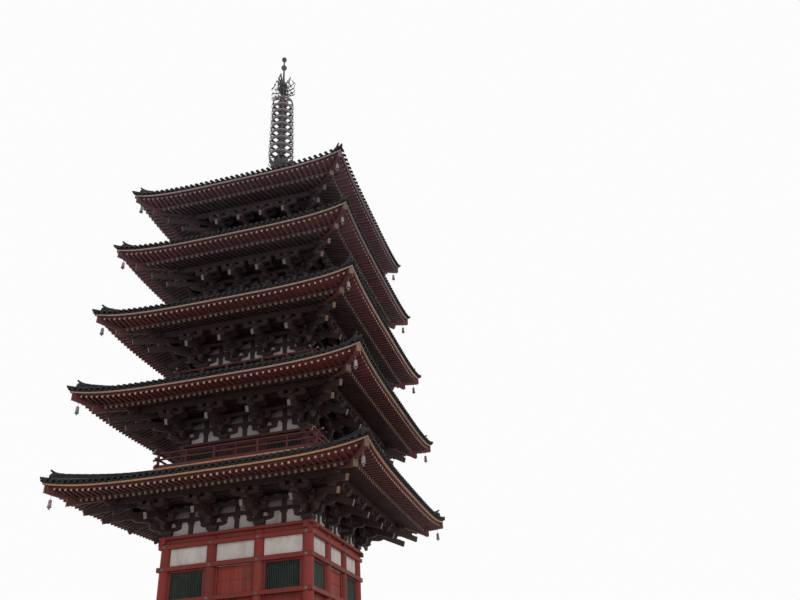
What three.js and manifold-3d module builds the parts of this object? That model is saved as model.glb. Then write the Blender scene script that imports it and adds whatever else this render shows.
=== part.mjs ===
// A five-storey timber pagoda on a stone podium, with tiled roofs and a bronze spire.
// Millimetres, +Z up. The origin is on the ground, at the middle of the tower.

import * as THREE from 'three';
import { mergeVertices } from 'three/addons/utils/BufferGeometryUtils.js';
import Module from 'manifold-3d';

const wasm = await Module();
wasm.setup();

// Driving dimensions
const rafterPitch = 285; // the carpenter's module, from one rafter to the next
const podiumHalf = 5800;
const podiumHeight = 1140;
const eaveHeights = [6840, 11248, 15521, 19594, 23447]; // eave line above the ground
const eaveHalves = [7376, 7077, 6729, 6395, 6053]; // from the axis to the eave line
const bays = [2260, 2053, 1787, 1551, 1330]; // three of them on each side

// Walls and columns
const wallThickness = 172;
const columnRadius = 250;
const wallPlateTop = -1539; // below the eave line
const wallPlateDepth = 128;
const wallPlateOverhang = 285;
const jamb = 90;
const headBeamDepth = 200;
const leafThickness = 60;
const doorGap = 1;
const thresholdProud = 70; // beyond the columns
const groundThresholdHeight = 180;
const sillHeight = 110; // of the sill and thresholds of an upper storey

// Decks and balustrades
const deckBottom = 1511; // above the eave line below the deck
const deckThickness = 162;
const deckReach = 1054; // from the column line to the edge of the deck
const railThickness = 100;
const railInset = 143; // from the edge of the deck to the middle of the rails

// Eaves and roofs
const tileEdgeTop = 328; // top of the tiles at the eave line
const tileDepth = 265;
const tileOverhang = 128;
const lowerRoof = { slope: 0.27, curve: 1.6e-5 };
const topRoof = { slope: 0.42, curve: 4.74e-5 };
const roofInnerReach = 855; // the tiles run in under the deck up to here
const riseReach = 3300; // how far in from the eave the corner rise dies out
const curveInset = 1500; // where the roof's curve has a point between the eave and there
const rowPitch = 300; // of the round tiles
const grooveDepth = 125; // between two rows of round tiles
const ridgeHalf = 128; // half the width of a hip ridge
const rafterSlope = 0.33;
const eaveBoardHalf = 57;
const tierGap = 0.5;
const stoneJoint = 0.3;

// Spire, heights above the top eave line
const basinHalf = 741;
const basinTop = 4902;
const bowlTop = 5586;
const lotusTop = 6413;
const mastTop = 11970;
const flameTop = 14934;
const ballTop = 15420;
const spireTop = 16271;

const colours = {
  stone: { color: 0x8f8b84, roughness: 0.9, metalness: 0 },
  vermilion: { color: 0x7c2f26, roughness: 0.7, metalness: 0 },
  dark_vermilion: { color: 0x5e2620, roughness: 0.75, metalness: 0 },
  door_timber: { color: 0x6d2a22, roughness: 0.65, metalness: 0 },
  tile: { color: 0x3c423f, roughness: 0.6, metalness: 0 },
  bronze: { color: 0x3d4440, roughness: 0.5, metalness: 0.8 },
};

const finishes = Object.fromEntries(
  Object.entries(colours).map(([name, values]) => [name, new THREE.MeshStandardMaterial(values)]),
);

// Solids

// Six times the signed volume, which is negative when the faces point in
function signedVolume(points, triangles) {
  let total = 0;
  const corner = (index) => new THREE.Vector3().fromArray(points, 3 * index);
  for (let i = 0; i < triangles.length; i += 3) {
    const [a, b, c] = [0, 1, 2].map((step) => corner(triangles[i + step]));
    total += a.dot(b.cross(c));
  }
  return total;
}

// A closed three.js geometry as a solid, with its faces pointing out
function toSolid(geometry) {
  const bare = new THREE.BufferGeometry();
  bare.setAttribute('position', geometry.getAttribute('position'));
  if (geometry.index) bare.setIndex(geometry.index);
  const merged = mergeVertices(bare, 1e-3);
  const points = merged.getAttribute('position').array;
  const corners = merged.index.array;
  const triangles = [];
  for (let i = 0; i < corners.length; i += 3) {
    const [a, b, c] = corners.slice(i, i + 3);
    if (a !== b && b !== c && c !== a) triangles.push(a, b, c);
  }
  if (signedVolume(points, triangles) < 0) triangles.reverse();
  return new wasm.Manifold(new wasm.Mesh({
    numProp: 3,
    vertProperties: Float32Array.from(points),
    triVerts: Uint32Array.from(triangles),
  }));
}

function joined(solids) {
  return solids.reduce((whole, piece) => whole.add(piece));
}

function named(name, finish, solid) {
  const { vertProperties, triVerts } = solid.getMesh();
  const geometry = new THREE.BufferGeometry();
  geometry.setAttribute('position', new THREE.BufferAttribute(vertProperties, 3));
  geometry.setIndex(new THREE.BufferAttribute(triVerts, 1));
  geometry.computeVertexNormals();
  const mesh = new THREE.Mesh(geometry, finishes[finish]);
  mesh.name = name;
  return mesh;
}

// A block that stands on height z, centred on x and y
function block(width, depth, height, x, y, z) {
  return toSolid(new THREE.BoxGeometry(width, depth, height).translate(x, y, z + height / 2));
}

function post(radius, height, sides, x, y, z) {
  const geometry = new THREE.CylinderGeometry(radius, radius, height, sides);
  const upright = geometry.rotateX(Math.PI / 2).rotateZ(Math.PI / sides);
  return toSolid(upright.translate(x, y, z + height / 2));
}

// A round piece from its profile of [radius, height] points, bottom to top
function turned(profile, sides) {
  const points = profile.map(([radius, height]) => new THREE.Vector2(radius, height));
  return toSolid(new THREE.LatheGeometry(points, sides).rotateX(Math.PI / 2));
}

// A flat piece whose outline of [outward, height] points stands on the tower's axis.
// It is centred on its thickness and turned about the axis by angle.
function slab(outline, thickness, angle) {
  const shape = new THREE.Shape(outline.map(([out, height]) => new THREE.Vector2(out, height)));
  const geometry = new THREE.ExtrudeGeometry(shape, { depth: thickness, bevelEnabled: false });
  return toSolid(geometry.rotateX(Math.PI / 2).translate(0, thickness / 2, 0).rotateZ(angle));
}

// How far the eave stands up at a share of the half side, from the middle to the corner
function cornerRise(share) {
  return rafterPitch * (1.306 * Math.abs(share) ** 3.55 + 0.234 * Math.abs(share) ** 10);
}

const fullRise = cornerRise(1);
const risingStations = [-1, -0.86, -0.55, 0.55, 0.86];
const levelStations = [-1];

// A ring round the four sides, mitred at the corners. Each point of its section is
// [inset from the outer half, height, share of the corner rise].
function squareRing(half, section, stations) {
  const positions = [];
  for (let side = 0; side < 4; side++) {
    const turn = new THREE.Matrix4().makeRotationZ(side * Math.PI / 2);
    for (const station of stations) {
      for (const [inset, height, share] of section) {
        const reach = half - inset;
        const point = new THREE.Vector3(station * reach, -reach, height + share * cornerRise(station));
        positions.push(...point.applyMatrix4(turn).toArray());
      }
    }
  }
  const rows = 4 * stations.length;
  const columns = section.length;
  const index = [];
  for (let row = 0; row < rows; row++) {
    for (let column = 0; column < columns; column++) {
      const next = (column + 1) % columns;
      const a = row * columns + column;
      const b = row * columns + next;
      const c = ((row + 1) % rows) * columns + column;
      const d = ((row + 1) % rows) * columns + next;
      if (section[column][0] <= section[next][0]) index.push(a, c, d, a, d, b);
      else index.push(a, c, b, c, d, b);
    }
  }
  const geometry = new THREE.BufferGeometry();
  geometry.setAttribute('position', new THREE.Float32BufferAttribute(positions, 3));
  geometry.setIndex(index);
  return toSolid(geometry);
}

// A level ring of rectangular section, its faces so far outside and inside a half width
function levelRing(half, outside, inside, bottom, top) {
  const width = outside + inside;
  const section = [[0, bottom, 0], [0, top, 0], [width, top, 0], [width, bottom, 0]];
  return squareRing(half + outside, section, levelStations);
}

// Triangles between two lines of points that run inwards side by side
function strip(left, right) {
  const triangles = [];
  let [l, r] = [0, 0];
  while (l < left.length - 1 || r < right.length - 1) {
    const leftFirst = l < left.length - 1
      && (r === right.length - 1 || left[l + 1][1] <= right[r + 1][1]);
    triangles.push([left[l], right[r], leftFirst ? left[l + 1] : right[r + 1]]);
    if (leftFirst) l += 1;
    else r += 1;
  }
  return triangles;
}

// A flat face inside an outline. Seen from outside, flat turns a point into [right, up].
function flatFace(outline, flat) {
  const corners = outline.map((point) => new THREE.Vector2(...flat(point)));
  return THREE.ShapeUtils.triangulateShape(corners, []).map((triangle) => {
    const [a, b, c] = triangle.map((index) => corners[index]);
    const turnsLeft = b.clone().sub(a).cross(c.clone().sub(a)) > 0;
    return (turnsLeft ? triangle : triangle.toReversed()).map((index) => outline[index]);
  });
}

// Faces of the front side repeated on the four sides, as one solid
function fourSides(triangles) {
  const quarterTurn = ([x, y, z]) => [-y, x, z];
  const positions = [];
  let side = triangles;
  for (let turn = 0; turn < 4; turn++) {
    positions.push(...side.flat(2));
    side = side.map((triangle) => triangle.map(quarterTurn));
  }
  const geometry = new THREE.BufferGeometry();
  geometry.setAttribute('position', new THREE.Float32BufferAttribute(positions, 3));
  return toSolid(geometry);
}

// The storeys, each worked out from its eave height, eave width and bay

const storeys = eaveHeights.map((eaveHeight, index) => {
  const wallHalf = 1.5 * bays[index];
  const floorAbove = index < 4 ? 1.5 * bays[index + 1] : null;
  const floorHeight = index > 0 ? eaveHeights[index - 1] + deckBottom + deckThickness : podiumHeight;
  return {
    number: index + 1,
    eaveHeight,
    eaveHalf: eaveHalves[index],
    bay: bays[index],
    wallHalf,
    floor: floorHeight - eaveHeight,
    roof: index < 4 ? lowerRoof : topRoof,
    tilesEnd: index < 4
      ? eaveHalves[index] - floorAbove - roofInnerReach
      : eaveHalves[index] - basinHalf - 4,
    deckHalfAbove: index < 4 ? floorAbove + deckReach : null,
  };
});

function tileTop(storey, inset) {
  return tileEdgeTop + storey.roof.slope * inset + storey.roof.curve * inset ** 2;
}

function riseShare(inset) {
  return Math.max(0, 1 - Math.max(inset, 0) / riseReach) ** 2;
}

// Insets of the points of the roof's underside. The curve of the top roof needs one more.
function roofInsets(storey) {
  if (storey.number < 5) return [0, curveInset, storey.tilesEnd];
  return [0, curveInset, riseReach, storey.tilesEnd];
}

// Underside of the base rafters, from their tips inwards
const baseTipInset = 884;
const baseTipBottom = -385;
const baseTipShare = 0.25; // of the corner rise
const flatInset = 2100; // inside this line the rafters lie level along the side

function rafterUnderside(inset) {
  return baseTipBottom + rafterSlope * (inset - baseTipInset);
}

// The podium is one mass of masonry with a plinth course and a cap course.
function makePodium() {
  const courseReveal = 60;
  const plinthHeight = 170;
  const capHeight = 180;
  const full = 2 * podiumHalf;
  const bodyWidth = full - 2 * courseReveal;
  return named('podium', 'stone', joined([
    block(full, full, plinthHeight, 0, 0, 0),
    block(bodyWidth, bodyWidth, podiumHeight, 0, 0, 0),
    block(full, full, capHeight, 0, 0, podiumHeight - capHeight),
  ]));
}

// Five stone treads between sloping cheek stones, against the podium
function makeSteps(name, angle) {
  const treads = 5;
  const going = 300;
  const rise = podiumHeight / (treads + 1);
  const flightWidth = 2400;
  const cheekWidth = 300;
  const cheekFoot = 240;
  const start = podiumHalf + stoneJoint;
  const outline = [[start, 0], [start + treads * going, 0]];
  for (let tread = treads; tread > 0; tread--) {
    const height = podiumHeight - tread * rise;
    outline.push([start + tread * going, height], [start + (tread - 1) * going, height]);
  }
  const end = start + treads * going;
  const cheek = [
    [start, 0], [end, 0], [end, cheekFoot], [end - going / 2, cheekFoot], [start, podiumHeight],
  ];
  const flight = slab(outline, flightWidth, 0);
  const sides = [-1, 1].map((side) => {
    return slab(cheek, cheekWidth, 0).translate([0, side * (flightWidth + cheekWidth) / 2, 0]);
  });
  const mesh = named(name, 'stone', joined([flight, ...sides]));
  mesh.rotation.z = angle;
  return mesh;
}

// Places of the twelve columns, four on each side
function columnPlaces(storey) {
  const places = [];
  for (const across of [-1.5, -0.5, 0.5, 1.5]) {
    for (const along of [-1.5, -0.5, 0.5, 1.5]) {
      const outer = Math.max(Math.abs(across), Math.abs(along)) === 1.5;
      if (outer) places.push([across * storey.bay, along * storey.bay]);
    }
  }
  return places;
}

function openingWidth(storey) {
  return storey.bay - 2 * (columnRadius + jamb);
}

// Heights of the door head and the window sill above the floor
function openingHeights(storey) {
  const wallHeight = wallPlateTop - wallPlateDepth - storey.floor;
  const groundDoorHeight = 2650;
  const groundSillHeight = 1450;
  if (storey.number === 1) return { head: groundDoorHeight, sill: groundSillHeight };
  const head = wallHeight - headBeamDepth;
  return { head, sill: 0.3 * head };
}

// The wall of a storey: columns, panels between them and the wall plate on top,
// with a doorway in the middle bay of each side and a window in each other bay
function makeWall(storey) {
  const { floor, wallHalf, bay } = storey;
  const halfWall = wallThickness / 2;
  const columnTop = wallPlateTop - wallPlateDepth;
  const columnSides = 6;
  const pieces = [levelRing(wallHalf, halfWall, halfWall, floor, wallPlateTop)];
  for (const [x, y] of columnPlaces(storey)) {
    pieces.push(post(columnRadius, columnTop - floor, columnSides, x, y, floor));
  }
  pieces.push(levelRing(wallHalf, wallPlateOverhang, wallPlateOverhang, columnTop, wallPlateTop));
  const { head, sill } = openingHeights(storey);
  if (storey.number === 1) {
    const beamReach = 190;
    const beamBottom = floor + head;
    pieces.push(levelRing(wallHalf, beamReach, 0, beamBottom, beamBottom + headBeamDepth));
  }
  let wall = joined(pieces);
  if (storey.number > 1) {
    const inside = 2 * (wallHalf - halfWall);
    wall = wall.subtract(block(inside, inside, -storey.floor, 0, 0, storey.floor - 1));
  }
  const width = openingWidth(storey);
  const depth = 2 * (wallHalf + 2 * columnRadius);
  for (const side of [0, 1]) {
    const turn = [0, 0, 90 * side];
    wall = wall.subtract(block(width, depth, head, 0, 0, floor).rotate(turn));
    for (const along of [-1, 1]) {
      const window = block(width, depth, head - sill, along * bay, 0, floor + sill);
      wall = wall.subtract(window.rotate(turn));
    }
  }
  return named(`wall_${storey.number}`, 'vermilion', wall);
}

// A pair of board doors over a threshold, in the middle bay of one side
function doorPair(storey, rise) {
  const width = openingWidth(storey) - 2 * doorGap;
  const height = openingHeights(storey).head - doorGap;
  const reach = columnRadius + thresholdProud;
  const y = -storey.wallHalf;
  const leaves = block(width, leafThickness, height, 0, y, storey.floor);
  const threshold = block(width, reach, rise, 0, y - reach / 2, storey.floor);
  return leaves.add(threshold);
}

function makeGroundDoors(name, storey, angle) {
  const mesh = named(name, 'door_timber', doorPair(storey, groundThresholdHeight));
  mesh.rotation.z = angle;
  return mesh;
}

// The four pairs of an upper storey stand in one sill that runs round the wall.
function makeUpperDoors(storey) {
  const sillInside = columnRadius + doorGap;
  const sillOutside = columnRadius + thresholdProud;
  const sillTop = storey.floor + sillHeight;
  const sill = levelRing(storey.wallHalf, sillOutside, -sillInside, storey.floor, sillTop);
  const pair = doorPair(storey, sillHeight);
  const pairs = [0, 1, 2, 3].map((side) => pair.rotate([0, 0, 90 * side]));
  return named(`doors_${storey.number}`, 'door_timber', joined([sill, ...pairs]));
}

// Bracket sets

const purlinReach = 1710; // from the column line to the middle of the eave purlin
const purlinHalfWidth = 115;
const purlinBottom = -143;
const armWidth = 177;
const tailTipReach = 2095;

// One set: arms stepping out from the wall plate, a tail rafter and the post that it carries
const bracketOutline = [
  [0, wallPlateTop], [257, wallPlateTop], [257, -1254], [1225, -860], [tailTipReach, -1069],
  [tailTipReach, -898], [1820, -799], [1820, purlinBottom], [1600, purlinBottom],
  [1600, -720], [0, -144],
];

function makeBrackets(storey) {
  const { wallHalf, eaveHalf, bay } = storey;
  const halfWall = wallThickness / 2;
  const underside = (reach) => rafterUnderside(eaveHalf - reach) - tierGap;
  const ring = (inner, outer, bottom) => squareRing(outer, [
    [0, bottom, 0], [0, underside(outer), 0],
    [outer - inner, underside(inner), 0], [outer - inner, bottom, 0],
  ], levelStations);
  const purlin = wallHalf + purlinReach;
  const pieces = [
    ring(wallHalf - halfWall, wallHalf + halfWall, wallPlateTop),
    ring(purlin - purlinHalfWidth, purlin + purlinHalfWidth, purlinBottom),
  ];
  const cornerOutline = bracketOutline.map(([out, height]) => [out * Math.SQRT2, height]);
  const inner = slab(bracketOutline, armWidth, 0);
  const corner = slab(cornerOutline, armWidth, Math.PI / 4);
  const sets = [
    inner.translate([wallHalf, -bay / 2, 0]),
    inner.translate([wallHalf, bay / 2, 0]),
    corner.translate([wallHalf, wallHalf, 0]),
  ];
  for (let side = 0; side < 4; side++) {
    pieces.push(...sets.map((set) => set.rotate([0, 0, 90 * side])));
  }
  return named(`brackets_${storey.number}`, 'dark_vermilion', joined(pieces));
}

// Eaves

// A bell on its hook under the corner, with the tongue that hangs from it
function windBell(storey) {
  const cornerInset = 228;
  const profile = [[0, -740], [25, -400], [120, -390], [40, 120], [0, 120]];
  const reach = Math.SQRT2 * (storey.eaveHalf - cornerInset);
  return turned(profile, 5).translate([reach, 0, 0]);
}

// The rafters of one storey in two tiers, with the eave board along their tips, the hip
// rafters and wind bells at the corners, and the kerb that the deck above stands on
function makeEaves(storey) {
  const { eaveHalf, wallHalf, tilesEnd } = storey;
  const innerInset = eaveHalf - wallHalf + wallThickness / 2;
  const top = (inset) => [inset, tileTop(storey, inset) - tileDepth - tierGap, riseShare(inset)];
  const section = [
    [0, -eaveBoardHalf, 1],
    ...roofInsets(storey).map(top),
  ];
  if (storey.number < 5) {
    section.push([tilesEnd + tierGap, top(tilesEnd)[1], 0], [tilesEnd + tierGap, deckBottom, 0]);
    section.push([innerInset, deckBottom, 0]);
  } else {
    const shellDepth = 500;
    const kerbInset = tilesEnd + 250;
    section.push([kerbInset, top(tilesEnd)[1], 0], [kerbInset, top(tilesEnd)[1] - shellDepth, 0]);
    section.push([innerInset, top(innerInset)[1] - shellDepth, 0]);
  }
  const flyingTipInset = 137;
  const flyingTipBottom = -231;
  const flyingInnerBottom = -185;
  const boardFootInset = 120;
  section.push(
    [innerInset, rafterUnderside(innerInset), 0],
    [flatInset, rafterUnderside(flatInset), 0],
    [baseTipInset, baseTipBottom, baseTipShare],
    [baseTipInset, flyingInnerBottom, baseTipShare],
    [flyingTipInset, flyingTipBottom, 1],
    [boardFootInset, -eaveBoardHalf, 1],
  );
  const pieces = [squareRing(eaveHalf, section, risingStations)];
  const diagonal = (inset) => Math.SQRT2 * (eaveHalf - inset);
  const hipWidth = 200;
  const baseHip = [
    [diagonal(760), -470], [diagonal(760), -150],
    [diagonal(2060), 300], [diagonal(2060), -41],
  ];
  const flyingHip = [
    [diagonal(100), 110], [diagonal(100), 340],
    [diagonal(1100), 200], [diagonal(1100), -200], [diagonal(800), -200],
  ];
  for (let side = 0; side < 4; side++) {
    const corner = (solid) => solid.rotate([0, 0, 45 + 90 * side]);
    pieces.push(corner(slab(baseHip, hipWidth, 0)), corner(slab(flyingHip, hipWidth, 0)));
    pieces.push(corner(windBell(storey)));
  }
  return named(`eaves_${storey.number}`, 'dark_vermilion', joined(pieces));
}

// Points and lines of a roof's front side, which its faces share
function roofPoints(storey) {
  const { eaveHalf, tilesEnd } = storey;
  const footOffset = ridgeHalf * Math.SQRT2; // along the eave, from a hip to its ridge's side
  const onTiles = (x, inset, lift) => {
    const rise = riseShare(inset) * cornerRise(x / (eaveHalf - inset));
    return [x, inset - eaveHalf, tileTop(storey, inset) + rise + lift];
  };
  const onRidge = (inset, lift, offset = footOffset) => {
    const height = tileTop(storey, inset) + riseShare(inset) * fullRise + lift;
    return [eaveHalf - inset - offset, inset - eaveHalf, height];
  };
  const stations = [...risingStations, 1];
  const underside = (inset) => stations.map((station) => [
    station * (eaveHalf - inset),
    inset - eaveHalf,
    tileTop(storey, Math.max(inset, 0)) - tileDepth + riseShare(inset) * cornerRise(station),
  ]);
  const footX = (inset) => eaveHalf - inset - footOffset;
  const footStart = onTiles(footX(-tileOverhang), -tileOverhang, -grooveDepth);
  const footEnd = onTiles(footX(tilesEnd), tilesEnd, -grooveDepth);
  return { onTiles, onRidge, underside, footX, footStart, footEnd };
}

const mirrored = ([x, y, z]) => [-x, y, z];
const overHip = ([x, y, z]) => [-y, -x, z];

// Lines from the eave inwards, along the crest of each row of round tiles and along the
// groove between two rows. In a lower roof a groove that meets a hip runs into the next row.
function rowLines(storey, { onTiles, footX, footStart }) {
  const { eaveHalf, tilesEnd } = storey;
  const topRoofBend = 2600;
  const cornerMargin = 100;
  const rows = Math.floor(2 * (eaveHalf + tileOverhang - cornerMargin) / rowPitch);
  const place = (step) => step * rowPitch / 2;
  const lift = (step) => (Math.abs(step + rows) % 2 === 0 ? -grooveDepth : 0);
  const rowEnd = (step) => {
    const toHip = footX(0) - Math.abs(place(step));
    const meetsHip = toHip < tilesEnd;
    if (meetsHip && lift(step) < 0) return rowEnd(step - Math.sign(step));
    return onTiles(place(step), Math.min(tilesEnd, toHip), lift(step));
  };
  const lines = [[mirrored(footStart)]];
  for (let step = 1 - rows; step < rows; step++) {
    const line = [onTiles(place(step), -tileOverhang, lift(step))];
    const end = rowEnd(step);
    if (storey.number === 5 && end[1] + eaveHalf > topRoofBend) {
      line.push(onTiles(place(step), topRoofBend, lift(step)));
    }
    lines.push([...line, end]);
  }
  return [...lines, [footStart]];
}

// The tiles' surface between those lines
function rowFaces(lines, footEnd) {
  const innerY = footEnd[1];
  const reachesInside = (line) => line.at(-1)[1] === innerY;
  const faces = [];
  for (let i = 0; i < lines.length - 1; i++) {
    let [left, right] = [lines[i], lines[i + 1]];
    if (reachesInside(left) && !reachesInside(right)) right = [...right, footEnd];
    else if (reachesInside(right) && !reachesInside(left)) left = [...left, mirrored(footEnd)];
    faces.push(...strip(left, right));
  }
  return faces;
}

// One top edge of a hip ridge, from the corner inwards. It is low at the corner, and where
// it runs in under the deck above.
function ridgeEdge(storey, { onRidge }) {
  const { eaveHalf, tilesEnd, deckHalfAbove } = storey;
  const [fullHeight, lowHeight] = [200, 10];
  const noseLength = 100;
  const drop = 15;
  const clearance = 6; // from the deck above, or from the spire's foot
  const limit = storey.number < 5 ? eaveHalf - deckHalfAbove : tilesEnd;
  const ridgeEnd = limit - clearance - drop - ridgeHalf / Math.SQRT2;
  const insets = [noseLength, ...roofInsets(storey).slice(1, -1), ridgeEnd];
  return {
    lowHeight,
    edge: [
      onRidge(-tileOverhang, lowHeight),
      ...insets.map((inset) => onRidge(inset, fullHeight)),
      onRidge(ridgeEnd + drop, lowHeight),
    ],
  };
}

// All faces of a roof's front side, with the hip ridge at its right end
function roofSide(storey) {
  const { tilesEnd } = storey;
  const points = roofPoints(storey);
  const { onRidge, underside, footEnd } = points;
  const lines = rowLines(storey, points);
  const faces = rowFaces(lines, footEnd);

  const { lowHeight, edge } = ridgeEdge(storey, points);
  const edgeEnd = onRidge(tilesEnd, lowHeight);
  const outerCorner = onRidge(-tileOverhang, lowHeight, 0);
  const innerCorner = onRidge(tilesEnd, lowHeight, 0);
  faces.push([edge[0], outerCorner, overHip(edge[0])]);
  for (let i = 0; i < edge.length - 1; i++) {
    const [a, b] = [edge[i], edge[i + 1]];
    faces.push([a, overHip(a), overHip(b)], [a, overHip(b), b]);
  }
  const last = edge.at(-1);
  faces.push([last, overHip(last), innerCorner], [last, innerCorner, edgeEnd]);
  faces.push([overHip(last), overHip(edgeEnd), innerCorner]);

  const ends = lines.map((line) => line.at(-1)).toReversed();
  const distinct = ends.filter((end, i) => i === 0 || end[0] !== ends[i - 1][0]);
  const foot = distinct.filter(([x, y]) => x > 0 && y < footEnd[1]);
  const ridgeFace = flatFace(
    [...foot, footEnd, edgeEnd, ...edge.toReversed()],
    ([x, y, z]) => [(x - y) / Math.SQRT2, z],
  );
  faces.push(...ridgeFace);
  faces.push(...ridgeFace.map((triangle) => triangle.toReversed().map(mirrored)));

  const frontCorner = [edge[0], outerCorner];
  faces.push(...flatFace([
    ...underside(-tileOverhang), ...frontCorner.toReversed(),
    ...lines.map((line) => line[0]).toReversed(), ...frontCorner.map(mirrored),
  ], ([x, , z]) => [x, z]));
  const innerEdge = [footEnd, edgeEnd, innerCorner];
  faces.push(...flatFace([
    ...underside(tilesEnd), ...innerEdge.toReversed(),
    ...distinct.filter(([, y]) => y === footEnd[1]), ...innerEdge.map(mirrored),
  ], ([x, , z]) => [-x, z]));

  const undersides = [-tileOverhang, ...roofInsets(storey)].map(underside);
  for (let i = 0; i < undersides.length - 1; i++) {
    const [outer, inner] = [undersides[i], undersides[i + 1]];
    for (let k = 0; k < outer.length - 1; k++) {
      faces.push([outer[k], inner[k], inner[k + 1]], [outer[k], inner[k + 1], outer[k + 1]]);
    }
  }
  return faces;
}

// The tiled roof of one storey, with an end tile on each of its four hip ridges
function makeRoof(storey) {
  const pieces = [fourSides(roofSide(storey))];
  const inset = 130;
  const [depth, width] = [110, 220];
  const [foot, height] = [-60, 390];
  const place = Math.SQRT2 * (storey.eaveHalf - inset);
  const level = tileTop(storey, inset) + riseShare(inset) * fullRise;
  const endTile = block(depth, width, height, place, 0, level + foot);
  for (let side = 0; side < 4; side++) pieces.push(endTile.rotate([0, 0, 45 + 90 * side]));
  return named(`roof_${storey.number}`, 'tile', joined(pieces));
}

// The deck of an upper storey: its floor and the balcony round it
function makeDeck(storey) {
  const full = 2 * (storey.wallHalf + deckReach);
  const boards = block(full, full, deckThickness, 0, 0, storey.floor - deckThickness);
  return named(`deck_${storey.number}`, 'vermilion', boards);
}

// Three rails round the deck, tied by posts at the corners and along each side
function makeBalustrade(storey) {
  const railHalf = storey.wallHalf + deckReach - railInset;
  const rails = [[0, 100], [340, 430], [630, 730]]; // bottom and top of each, above the deck
  const postHalf = railThickness / 2;
  const innerPost = 0.535 * storey.bay;
  const postPlaces = [-railHalf, -innerPost, innerPost, railHalf];
  let balustrade = levelRing(railHalf, postHalf, postHalf, storey.floor, storey.floor + rails[2][1]);
  const depth = 2 * (railHalf + railThickness);
  for (let gap = 0; gap < 3; gap++) {
    const from = postPlaces[gap] + postHalf;
    const width = postPlaces[gap + 1] - postHalf - from;
    for (const level of [0, 1]) {
      const [low, high] = [rails[level][1], rails[level + 1][0]];
      const cut = block(width, depth, high - low, from + width / 2, 0, storey.floor + low);
      balustrade = balustrade.subtract(cut).subtract(cut.rotate([0, 0, 90]));
    }
  }
  return named(`balustrade_${storey.number}`, 'vermilion', balustrade);
}

// Spire

function makeBasin(storey) {
  const bottom = tileTop(storey, storey.tilesEnd) - tileDepth - tierGap;
  const footHeight = 420;
  const slabHeight = 190;
  const reveal = 80;
  const full = 2 * basinHalf;
  const body = full - 2 * reveal;
  return named('dew_basin', 'bronze', joined([
    block(full, full, footHeight, 0, 0, bottom),
    block(body, body, basinTop - bottom, 0, 0, bottom),
    block(full, full, slabHeight, 0, 0, basinTop - slabHeight),
  ]));
}

function makeBowl() {
  const profile = [
    [0, basinTop], [640, basinTop], [630, basinTop + 160], [540, basinTop + 370],
    [390, basinTop + 540], [230, bowlTop], [0, bowlTop],
  ];
  return named('inverted_bowl', 'bronze', turned(profile, 12));
}

function makeLotus() {
  const profile = [
    [0, bowlTop], [300, bowlTop], [330, bowlTop + 120], [560, bowlTop + 260], [800, bowlTop + 450],
    [885, bowlTop + 640], [800, bowlTop + 600], [480, bowlTop + 560], [220, lotusTop], [0, lotusTop],
  ];
  return named('lotus_cup', 'bronze', turned(profile, 12));
}

// Nine rings on the mast, smaller towards the top, each held by a bar across it
function makeRings() {
  const ringCount = 9;
  const firstRing = 6669;
  const ringSpacing = 616;
  const lowestRadius = 806;
  const taper = 12.7;
  const bandHeight = 250;
  const bandThickness = 110;
  const mastRadius = 120;
  const barWidth = 60;
  const pieces = [post(mastRadius, mastTop - lotusTop, 8, 0, 0, lotusTop)];
  for (let ring = 0; ring < ringCount; ring++) {
    const height = firstRing + ring * ringSpacing;
    const radius = lowestRadius - ring * taper;
    const inside = radius - bandThickness;
    const half = bandHeight / 2;
    pieces.push(turned([
      [inside, height - half], [radius, height - half], [radius, height + half],
      [inside, height + half], [inside, height - half],
    ], 12));
    const bar = block(2 * inside + bandThickness, barWidth, barWidth, 0, 0, height - barWidth / 2);
    pieces.push(bar.rotate([0, 0, 90 * (ring % 2)]));
  }
  return named('nine_rings', 'bronze', joined(pieces));
}

// Four flame-shaped vanes round the upper mast
function makeFlame() {
  const vaneThickness = 40;
  const vane = [
    [30, mastTop + 120], [330, mastTop + 160], [640, mastTop + 420], [700, mastTop + 760],
    [855, mastTop + 1150], [800, mastTop + 1560], [560, mastTop + 1900], [420, mastTop + 2450],
    [300, mastTop + 2050], [200, mastTop + 1800], [30, mastTop + 1700],
  ];
  const mast = turned([
    [0, mastTop], [100, mastTop], [70, flameTop], [0, flameTop],
  ], 8);
  const vanes = [0, 1, 2, 3].map((side) => slab(vane, vaneThickness, 0).rotate([0, 0, 90 * side]));
  return named('water_flame', 'bronze', joined([mast, ...vanes]));
}

function ballProfile(centre, radius, steps) {
  const profile = [];
  for (let step = 1; step < steps; step++) {
    const angle = -Math.PI / 2 + Math.PI * step / steps;
    profile.push([radius * Math.cos(angle), centre + radius * Math.sin(angle)]);
  }
  return profile;
}

function makeBall() {
  const centre = 15168;
  const radius = 200;
  const profile = [
    [0, flameTop], [60, flameTop], ...ballProfile(centre, radius, 6), [70, ballTop], [0, ballTop],
  ];
  return named('dragon_ball', 'bronze', turned(profile, 8));
}

function makeJewel() {
  const centre = 16020;
  const radius = 174;
  const neck = 45;
  const profile = [[0, ballTop], [neck, ballTop], ...ballProfile(centre, radius, 6), [0, spireTop]];
  return named('jewel', 'bronze', turned(profile, 8));
}

// Assembly

const sides = [['front', 0], ['right', Math.PI / 2], ['back', Math.PI], ['left', -Math.PI / 2]];

const pagoda = new THREE.Group();
pagoda.add(makePodium());
for (const [side, angle] of sides) pagoda.add(makeSteps(`${side}_steps`, angle - Math.PI / 2));

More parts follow.
